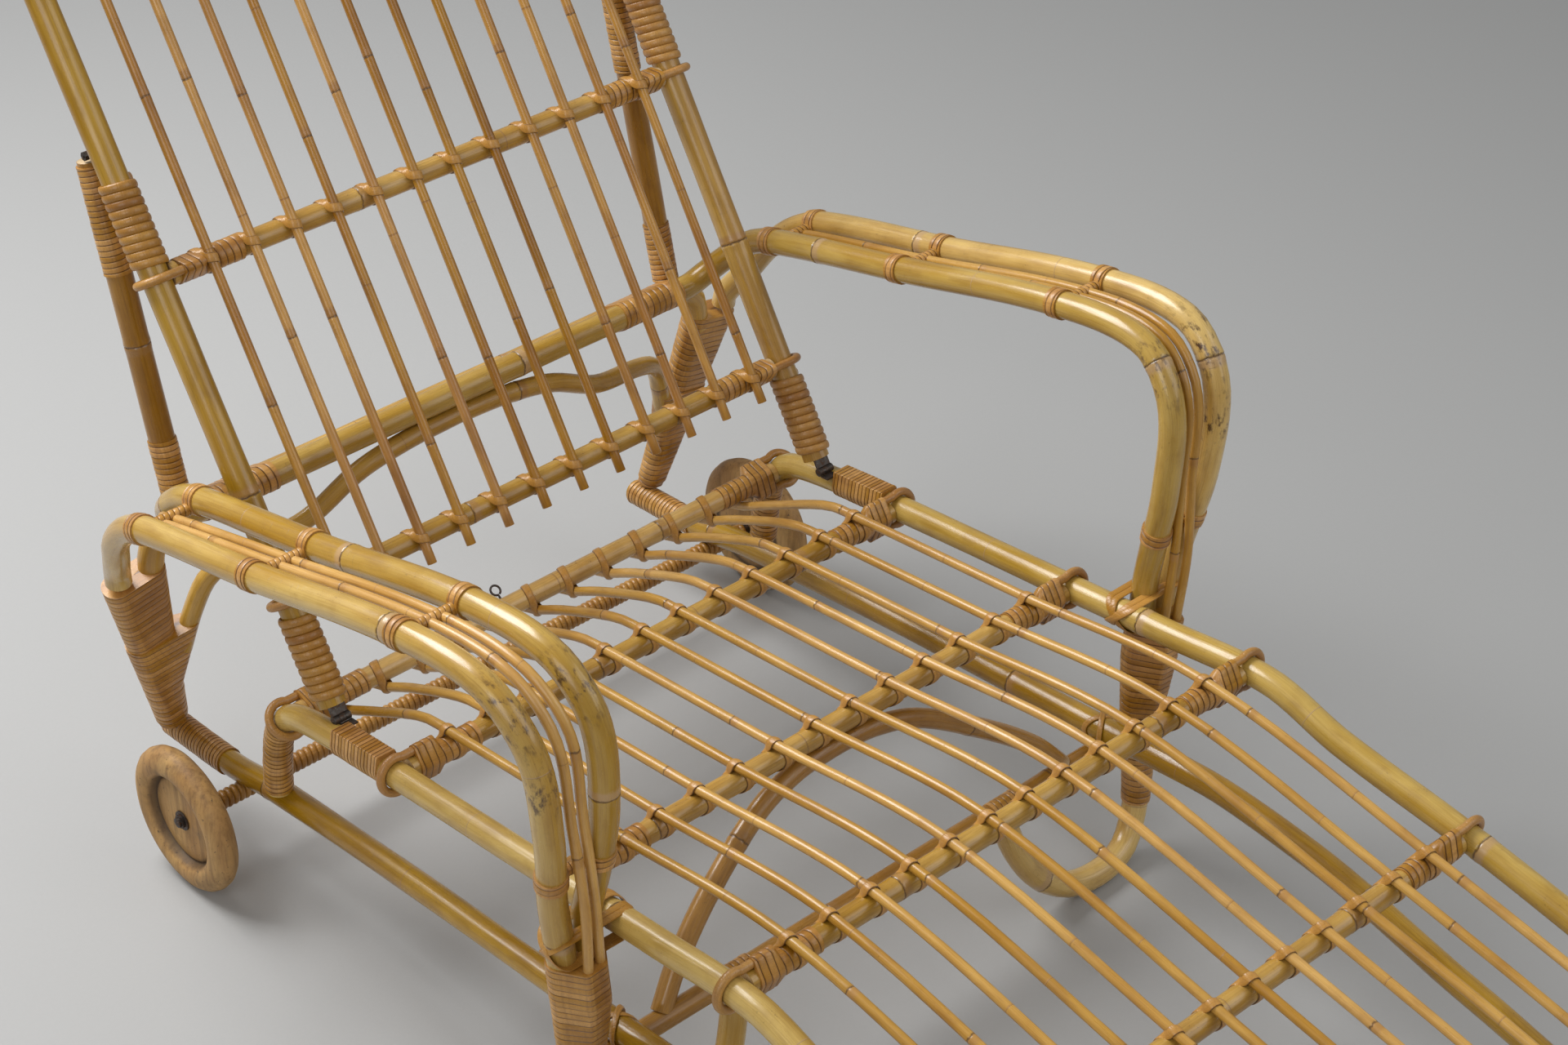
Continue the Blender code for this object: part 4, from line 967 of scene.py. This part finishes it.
for n, (label, low, side) in enumerate(sides):
    outer = placed(mirrored(outerLine, side))
    inner = placed(mirrored(innerHalf, side))
    pile = newPile()
    bend = runTo(outer, Vector((0.388 * side, -0.285, 0.535)) + centreShift)
    addCane(pile, outer, canes["rail"], "armPole", 73 + n, 0.38, charAt=((bend, 0.035), (bend + 0.07, 0.02)))
    leg = [Vector((p.x * side, p.y, p.z)) for p in outerLine if p.y < -0.27 and p.x > 0.30]
    spine = [pointAt(leg, 2, z) for z, _ in arms["legWrap"]]
    fine = [a.lerp(b, k / 6) for a, b in zip(spine, spine[1:]) for k in range(6)] + [spine[-1]]

    def legDiscs(s, side=side, spine=spine):
        run = 0.0
        share = arms["legWrap"][-1][1]
        for (a, b), (_, sa), (_, sb) in zip(zip(spine, spine[1:]), arms["legWrap"], arms["legWrap"][1:]):
            step = (b - a).length
            if s <= run + step:
                share = sa + (sb - sa) * (s - run) / step
                break
            run += step
        # The second side vector of a wrap that runs down points to the foot end
        beside, ahead = -0.0270 * side * share, 0.0240 * share
        r, thin = canes["rail"], canes["thin"] + 0.0012 * share
        return [(0, 0, r), (beside, 0, r), (beside * 0.7, ahead, thin), (beside * 0.25, ahead, thin)]

    length = railOf(fine, across)["length"]
    addWrap(pile, placed(fine), 0.0, length, legDiscs, 81 + n, 0.0064, around=32, hand=side)
    finishPiece("outerArm" + label, pile, "frame", "thick_cane", "arm_outer_" + low)

    pile = newPile()
    for k, path in enumerate(thinLines):
        addCane(pile, placed(mirrored(path, side)), canes["thin"], "thin", 91 + 2 * n + k, 0.19, 12, 0.012)
    above = next(k for k, p in enumerate(outer) if p.z > 0.415)
    for m, y in enumerate(arms["crossY"]):
        o = pointAt(outer[above:], 1, y + centreShift.y)
        i = pointAt([p for p in inner if p.z > 0.430], 1, y + centreShift.y)
        lowest = min(pointAt([p for p in path if p.z > 0.40], 1, y).z for path in thinLines)
        z = (lowest + (o.z + i.z) / 2) / 2
        bar = [Vector((x, o.y, z)) for x in (o.x - side * 0.012, (o.x + i.x) / 2, i.x + side * 0.012)]
        addCrosspiece(pile, ((outer, o), (inner, i)), bar, canes["reed"] + 0.0006, 95 + m, 99 + m, side)
    legOuter = [p for p in outer if p.y < centreShift.y - 0.27 and p.x * side > 0.30]
    legInner = [p for p in inner if p.y < centreShift.y - 0.25]
    o, i = pointAt(legOuter, 2, arms["legCrossZ"]), pointAt(legInner, 2, arms["legCrossZ"])
    behind, stub = along * 0.0012, across * (0.010 * side)
    bar = [o - stub + behind, o.lerp(i, 0.5) + behind, i + stub + behind]
    addCrosspiece(pile, ((outer, o), (inner, i)), bar, canes["reed"], 103, 104, side)
    rail = pointAt(seatTop, 1, -0.291)
    leg = pointAt([p for p in outerLine if p.y < -0.27 and p.x > 0.30], 2, rail.z)
    discs = [(0.0, 0.0, canes["rail"]), (leg.x - rails["seatX"], 0.0, canes["rail"])]
    middle = Vector((rails["seatX"] * side, leg.y, rail.z))
    for turn, reach in ((1, 0.0145), (-1, 0.0145), (1, 0.0080), (-1, 0.0080)):
        grow = 0.0004 + 0.0008 * (turn > 0)
        addHullBand(pile, middle, across * side, upward, discs, lambda angle: reach * turn * math.sin(angle),
                    0.0066, 0.3 + 0.2 * turn, grow)
    finishPiece("armFill" + label, pile, "frame", "thin_cane", "arm_fill_" + low)
print("arms ready")


# Front cross bar and arch
front = {"y": -0.280, "half": 0.310, "lashRing": 0.0112, "lashSlant": 0.010, "lashCross": 0.008}
lowerFront = pointAt(lowerLine, 1, front["y"])
crossZ = lowerFront.z - canes["rail"] - canes["bar"] - canes["gap"] - 0.0006
crownZ = barAt[2].z - canes["bar"] - canes["arch"] - canes["gap"]
archHalf = smoothPath([(0.0, -0.228, crownZ), (0.045, -0.229, crownZ - 0.003),
                       (0.095, -0.235, crownZ - 0.016), (0.165, -0.250, 0.205), (0.215, -0.266, 0.169),
                       (0.243, -0.277, crossZ + 0.006)])
pile = newPile()
crossLine = placed(throughLine(Vector((0, front["y"], crossZ)), across * front["half"]))
addCane(pile, crossLine, canes["bar"], "brownPole", 111, 0.31, 20, 0.015, along)
addCane(pile, placed(wholeOf(archHalf)), canes["arch"], "brownPole", 112, 0.27, 18, 0.010, along)
for label, low, side in sides:
    for turn in (-1, 1):
        path, outward = [], []
        ringRadius = canes["rail"] + 0.0006 + (0.0012 if turn > 0 else 0.0)
        middle = Vector((rails["lowerX"] * side, front["y"], lowerFront.z))
        below = Vector((rails["lowerX"] * side, front["y"], crossZ))
        for degrees in range(-40, 221, 20):
            a = math.radians(degrees)
            out = across * math.cos(a) + upward * math.sin(a)
            path.append(middle + out * ringRadius + along * (math.cos(a) * front["lashSlant"] * turn))
            outward.append(out)
        for degrees in (216, 243, 270, 297, 324):
            a = math.radians(degrees)
            out = along * (math.cos(a) * -turn) + upward * math.sin(a)
            ring = front["lashRing"]
            path.append(below + along * (ring * turn * -math.cos(a)) + upward * (ring * math.sin(a))
                        + across * (math.cos(a) * front["lashCross"]))
            outward.append(out)
        addRibbon(pile, placed(path), outward, 0.0055, 0.0011, 0.4)
    x = arms["outer"][-1][0] * side
    strapLine = placed([Vector((x + d, front["y"], crossZ)) for d in (-0.018, 0.0, 0.018)])
    addWrap(pile, strapLine, 0.0, 0.036, roundRail(canes["bar"]), 115, 0.006, hint=along)
finishPiece("frontCrossBar", pile, "frame", "thick_cane", "front_cross_bar")

# Rear hoop, rear arch and the fans that gather them
rear = {"bar": Vector((0, 0.300, 0.376)), "hoop": Vector((0, 0.0216, -0.0134)), "fanTop": 0.3170,
        "archWrapTop": 0.2280, "fanSpread": (0.0170, 0.0030), "fanRadius": (0.0135, 0.0100)}
hoopAt = rear["bar"] + rear["hoop"]
hoopHalf = smoothPath([(0.0, hoopAt.y, hoopAt.z), (0.150, hoopAt.y, hoopAt.z), (0.285, hoopAt.y, hoopAt.z),
                       (0.306, 0.3225, 0.3570), (0.3230, 0.3250, 0.3400), (0.3275, 0.3270, 0.3050)])
rearArchHalf = smoothPath([(0.0, 0.297, 0.3535), (0.060, 0.297, 0.3505), (0.115, 0.298, 0.3400),
                           (0.175, 0.301, 0.3120), (0.235, 0.312, 0.3000), (0.268, 0.325, 0.2820),
                           (0.283, 0.334, 0.2500), (0.296, 0.3440, 0.2020)])
pile = newPile()
addCane(pile, placed(wholeOf(hoopHalf)), canes["rail"], "goldPole", 121, 0.33, hint=along)
addCane(pile, placed(wholeOf(rearArchHalf)), canes["arch"], "goldPole", 122, 0.27, 18, 0.010, along)
lowerRear = pointAt(lowerLine, 1, 0.375)
fanLow = lowerRear.z + canes["rail"] + seat["wrapThick"] + canes["gap"] + 0.0016
for n, (label, low, side) in enumerate(sides):
    top = Vector((0.3455 * side, 0.3270, rear["fanTop"]))
    foot = Vector((0.300 * side, 0.3730, fanLow))
    height = (foot - top).length
    shareLine = [top.lerp(foot, k / 12) for k in range(13)]

    def fanDiscs(s, height=height):
        share = s / height
        reach, r = (a * (1 - share) + b * share for a, b in (rear["fanSpread"], rear["fanRadius"]))
        return [(-reach, 0, r), (reach, 0, r)]

    addWrap(pile, placed(shareLine), 0.0, height, fanDiscs, 125 + n, 0.0068, 32, across, side)
    archTop = rear["archWrapTop"]
    startShare = (rear["fanTop"] - archTop) / (rear["fanTop"] - foot.z)
    lowLine = [top.lerp(foot, startShare + (0.97 - startShare) * k / 10) for k in range(11)]
    archAt = pointAt(rearArchHalf, 2, archTop)
    offset = ((archAt.x - abs(lowLine[0].x)) * side, lowLine[0].y - archAt.y)

    def archDiscs(s, height=height, offset=offset, low=startShare * height, fan=fanDiscs):
        keep = max(0.0, 1.0 - s / 0.098)
        gathered = [(u, v, r + 0.0012) for u, v, r in fan(min(height, s + low))]
        return gathered + [(offset[0] * keep, offset[1] * keep, canes["arch"])]

    length = (lowLine[-1] - lowLine[0]).length
    addWrap(pile, placed(lowLine), 0.0, length, archDiscs, 127 + n, 0.0068, 32, across, -side)
    bound = [rear["bar"] + across * (x * side) for x in (0.206, 0.240, 0.281)]
    both = [(0.0, 0.0, canes["rail"]), (rear["hoop"].y, rear["hoop"].z * side, canes["rail"])]
    addWrap(pile, placed(bound), 0.0, 0.075, lambda s, both=both: both, 129 + n, 0.0072, 32, along, side)
addScrewEye(pile, Vector((0.170, hoopAt.y, hoopAt.z)), canes["rail"], Vector((0, 0.35, -0.94)))
finishPiece("rearHoop", pile, "frame", "thick_cane", "rear_hoop")
print("front and rear ready")

# Axle and wheels
axle = {"y": 0.27, "radius": 0.005, "wheelRadius": 0.0745, "wheelX": 0.357, "coverHalf": 0.3426, "turns": 106,
        "bore": 0.00507, "rodOver": 0.0105, "washers": ((0.3612, 0.3626, 0.0100), (0.3624, 0.3652, 0.0068))}
rodEnd = axle["wheelX"] + axle["rodOver"]
hub = Vector((0, axle["y"], axle["wheelRadius"])) + centreShift
pile = newPile()
addTube(pile, throughLine(hub, across * rodEnd), axle["radius"], "steel", 0.5, 20, upward)
for side in (-1, 1):
    for x0, x1, r in axle["washers"]:
        washer = [hub + across * (x * side) for x in (x0, (x0 + x1) / 2, x1)]
        addTube(pile, washer, r, "steel", 0.5, 28, upward, dome=0.0)
cover = pointAt(lowerLine, 1, axle["y"]).z - canes["rail"] - axle["wheelRadius"]
wound = windMesh("axleWinding", axle["turns"], cover - 0.0029, 2 * axle["coverHalf"] - 0.008, 0.0032, 0.85,
                 0.35, (0.0, math.pi / 2, 0.0), hub - across * (axle["coverHalf"] - 0.004))
joinMeshes("axle", [finishMesh("axleRod", pile), wound], "frame", "reed_winding", "axle")

rimProfile = ((axle["bore"], -0.0122), (0.030, -0.0128), (0.050, -0.0134), (0.0575, -0.0137),
              (0.0640, -0.0128), (0.0695, -0.0100), (0.0731, -0.0058), (axle["wheelRadius"], 0.0),
              (0.0731, 0.0058), (0.0695, 0.0100), (0.0640, 0.0128), (0.0585, 0.0137), (0.0540, 0.0132),
              (0.0500, 0.0115), (0.0474, 0.0080), (0.0464, 0.0030), (0.0450, 0.0012), (0.0434, 0.0024),
              (0.0424, 0.0034), (0.0300, 0.0036), (0.0150, 0.0036), (axle["bore"], 0.0036))
for label, low, side in sides:
    pile = newPile()
    centre = Vector((axle["wheelX"] * side, axle["y"], axle["wheelRadius"])) + centreShift
    steps = 96
    rows = []
    for k in range(steps):
        a = math.tau * k / steps
        out = along * math.sin(a) - upward * math.cos(a)
        rows.append([addVert(pile, centre + out * r + across * (x * side), tuple(out * r + across * x), 0.5)
                     for r, x in rimProfile])
    addSkin(pile, rows, "wheel", True)
    finishPiece("wheel" + label, pile, "wheel_" + low, "wheel_wood", "wheel_" + low)
print("wheels ready")

# Backrest
lean = Vector((0, 0.524, 0.851)).normalized()
face = Vector((0, -lean.z, lean.y))
back = {"lowRail": Vector((0, 0.158, 0.353)), "hingeFront": 0.006, "hingeZ": 0.2601, "stileFrom": 0.0130,
        "over": 0.040}
base = back["lowRail"] - lean * ((back["lowRail"].z + back["hingeFront"] * face.z - back["hingeZ"]) / lean.z)
hinge = base + face * back["hingeFront"]
lowRun = (back["lowRail"] - base).dot(lean)
railRuns = (lowRun, lowRun + 0.2995, lowRun + 0.6295)
stileTo = railRuns[2] + back["over"]
for n, (label, low, side) in enumerate(sides):
    shift = across * (rails["stileX"] * side)
    pile = newPile()
    runs = [back["stileFrom"] + (stileTo - back["stileFrom"]) * k / 8 for k in range(9)]
    line = [base + lean * run + shift for run in runs]
    addCane(pile, placed(line), canes["stile"], "goldPole", 131 + n, 0.42)
    finishPiece("stile" + label, pile, "backrest", "thick_cane", "back_stile_" + low)
pile = newPile()
railHalf = rails["stileX"] - canes["stile"] - canes["gap"]
for n, run in enumerate(railRuns):
    addBoundBar(pile, base + lean * run, face, railHalf, rails["stileX"], canes["stile"], 141 + n)
finishPiece("backRails", pile, "backrest", "thick_cane", "back_rail_low", "back_rail_middle", "back_rail_top")
pile = newPile()
for k, x in enumerate(slatX):
    shift = face * slatLift(k) + across * x
    a, b = (base + lean * run + shift for run in (railRuns[0] - 0.024, railRuns[2] + 0.026))
    line = placed([a.lerp(b, j / 6) for j in range(7)])
    addCane(pile, line, canes["slat"], "backThin", 151 + k, 0.25, 12, 0.016)
finishSlats("backSlats", pile, "backrest", "back_slat")
ties = tieGroups([base + lean * run for run in railRuns], [face] * 3, 67, "backTies")
joinMeshes("backTies", ties, "backrest", "thin_cane")

coils = {"reed": 0.0040, "pitch": 0.0076, "flat": 0.48, "lower": (0.0180, lowRun - 0.0095),
         "upper": (railRuns[1] + 0.0095, railRuns[1] + 0.0935)}
leanTurn = (-math.atan2(lean.y, lean.z), 0.0, 0.0)
for which in ("lower", "upper"):
    start, end = coils[which]
    for n, (label, low, side) in enumerate(sides):
        height = end - start - 2 * coils["reed"]
        turns = int(height / coils["pitch"])
        foot = base + lean * (start + coils["reed"]) + across * (rails["stileX"] * side) + centreShift
        coil = canes["stile"] + coils["reed"] * coils["flat"]
        wound = windMesh(f"{which}Winding{label}", turns, coil, height, coils["reed"], coils["flat"],
                         0.3 + 0.3 * n, leanTurn, foot)
        node = f"stile_winding_{which}_{low}"
        joinMeshes(f"{which}Winding{label}", [wound], "backrest", "reed_winding", node)
print("backrest ready")

# Props
props = {"lean": math.radians(13.0), "top": Vector((0, 0.401, 0.690)), "footGap": 0.0005}
propUp = Vector((0, math.sin(props["lean"]), math.cos(props["lean"])))
propLength = (props["top"] - hoopAt).dot(propUp) - canes["rail"] - props["footGap"]
for n, (label, low, side) in enumerate(sides):
    shift = across * (rails["stileX"] * side)
    line = placed([props["top"] + shift - propUp * (propLength * k / 8) for k in range(9)])
    pile = newPile()
    addCane(pile, line, canes["prop"], "brownPole", 161 + n, 0.28)
    addWrap(pile, line, 0.004, 0.104, roundRail(canes["prop"]), 163 + n, hand=side)
    footFrom, footTo = propLength - 0.060, propLength - 0.0008
    addWrap(pile, line, footFrom, footTo, roundRail(canes["prop"]), 165 + n, hand=-side)
    finishPiece("prop" + label, pile, "prop_" + low, "thick_cane", "prop_leg_" + low)
print("props ready")

# Hinges: squared wrap over the leaf on each seat rail, dark knuckles in front of the stile ends
hinges = {"leafHalf": 0.0085, "leafHigh": 0.0142, "barrel": 0.0042, "pin": 0.0018, "knuckle": 0.0034,
          "wrapBack": 0.068, "leafThickHalf": 0.0007, "leafSink": 0.0034, "lowLeaf": (0.0035, 0.0130),
          "highLeaf": (0.0040, 0.022), "pinOver": 0.0008, "knuckleGap": 0.0003}
railB = pointAt(seatTop, 1, 0.012)
forward = (railB - pointAt(seatTop, 1, hinge.y)).normalized()
overRail = Vector((0, forward.z, -forward.y)).normalized()
for n, (label, low, side) in enumerate(sides):
    pile = newPile()
    start = railB + across * (rails["seatX"] * side - railB.x)
    line = placed([start - forward * hinges["wrapBack"], start - forward * (hinges["wrapBack"] / 2), start])
    corners = [(0.0, 0.0, canes["rail"]), (hinges["leafHalf"], hinges["leafHigh"], 0.0004),
               (-hinges["leafHalf"], hinges["leafHigh"], 0.0004)]
    addWrap(pile, line, 0.0, hinges["wrapBack"], lambda s: corners, 171 + n, 0.0050, around=36, hand=side)
    finishPiece("hingeWrap" + label, pile, "frame", "reed_winding")
    pile = newPile()
    pin = hinge + across * (rails["stileX"] * side) + centreShift
    addLeaf(pile, pin - overRail * hinges["leafSink"], forward, overRail, hinges["lowLeaf"])
    for a, b in ((-hinges["leafHalf"], -hinges["knuckle"]), (hinges["knuckle"], hinges["leafHalf"])):
        knuckle = [pin + across * x for x in (a, (a + b) / 2, b)]
        addTube(pile, knuckle, hinges["barrel"], "steel", 0.5, 20, upward)
    pinLine = throughLine(pin, across * (hinges["leafHalf"] + hinges["pinOver"]))
    addTube(pile, pinLine, hinges["pin"], "steel", 0.5, 12, upward)
    finishPiece("hingeLeaf" + label, pile, "frame", "hinge_steel", "back_hinge_" + low)
    pile = newPile()
    middleKnuckle = throughLine(pin, across * (hinges["knuckle"] - hinges["knuckleGap"]))
    addTube(pile, middleKnuckle, hinges["barrel"], "steel", 0.5, 20, upward)
    addLeaf(pile, pin, lean, face, hinges["highLeaf"])
    finishPiece("stileLeaf" + label, pile, "backrest", "hinge_steel")
for name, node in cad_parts.items():
    if name.startswith("prop_hinge"):
        node.data.materials.clear()
        node.data.materials.append(looks["steel"])


# Camera, floor and light
def aim(obj, place, heading):
    obj.location = place
    obj.rotation_mode = "QUATERNION"
    obj.rotation_quaternion = heading.to_track_quat("-Z", "Y")


view = {"azimuth": -42.492, "elevation": 34.628, "lens": 72.92, "place": (-1.485, -1.43495, 1.982)}
camera = newObject("camera", bpy.data.cameras.new("camera"))
a, e = math.radians(view["azimuth"]), math.radians(view["elevation"])
behind = Vector((math.sin(a) * math.cos(e), -math.cos(a) * math.cos(e), math.sin(e)))
aim(camera, view["place"], -behind)
camera.data.sensor_width = 36.0
camera.data.lens = view["lens"]
camera.data.clip_end = 60.0
bpy.context.scene.camera = camera

room = {"light": (0.430, 0.431, 0.428), "dark": (0.350, 0.353, 0.351), "size": 40.0, "world": 0.33,
        "mottle": (0.30, 0.30, 0.30), "sky": (1.0, 0.995, 0.985, 1), "drop": -0.0005,
        "lampsAimAt": Vector((0, 0.1, 0.3))}
floorMesh = bpy.data.meshes.new("floor")
half = room["size"] / 2
floorCorners = [(x * half, y * half, room["drop"]) for x, y in ((-1, -1), (1, -1), (1, 1), (-1, 1))]
floorMesh.from_pydata(floorCorners, [], [(0, 1, 2, 3)])
floor = newObject("floor", floorMesh)
paper, tree, shader, _ = startMaterial("paperFloor", Roughness=0.9, Specular_IOR_Level=0.1)
# The floor is lighter towards -x, the lamps' side, and darker towards +x: painted light falloff between the
# room's light and dark colours
toward = newNode(tree, "ShaderNodeVectorMath", objectPlace(tree), (0.90, -0.25, 0.0), operation="DOT_PRODUCT")
paintedLightFalloff = rangeNode(toward.outputs["Value"], -0.9, 2.4, kind="SMOOTHSTEP")
mottle = noiseNode(objectPlace(tree), 260.0)
shade = mixNode(paintedLightFalloff, room["light"], room["dark"])
shade = mixNode(rangeNode(mottle, 0.3, 0.7, 0.0, 0.05), shade, room["mottle"])
feed(shader["Base Color"], shade)
floorMesh.materials.append(paper)

world = bpy.data.worlds.new("softRoom")
world.use_nodes = True
sky = world.node_tree.nodes["Background"].inputs
sky["Color"].default_value = room["sky"]
sky["Strength"].default_value = room["world"]
bpy.context.scene.world = world
lamps = (("keyLamp", (-0.7, 1.9, 2.5), 1.6, 90.0), ("sideLamp", (-2.4, -0.9, 2.0), 1.6, 20.0),
         ("fillLamp", (1.6, -2.2, 2.2), 2.4, 27.0))
for name, place, size, power in lamps:
    lamp = bpy.data.lights.new(name, "AREA")
    lamp.shape = "SQUARE"
    lamp.size = size
    lamp.energy = power
    aim(newObject(name, lamp), place, room["lampsAimAt"] - Vector(place))

bpy.context.scene.view_settings.view_transform = "Standard"
print("scene ready")
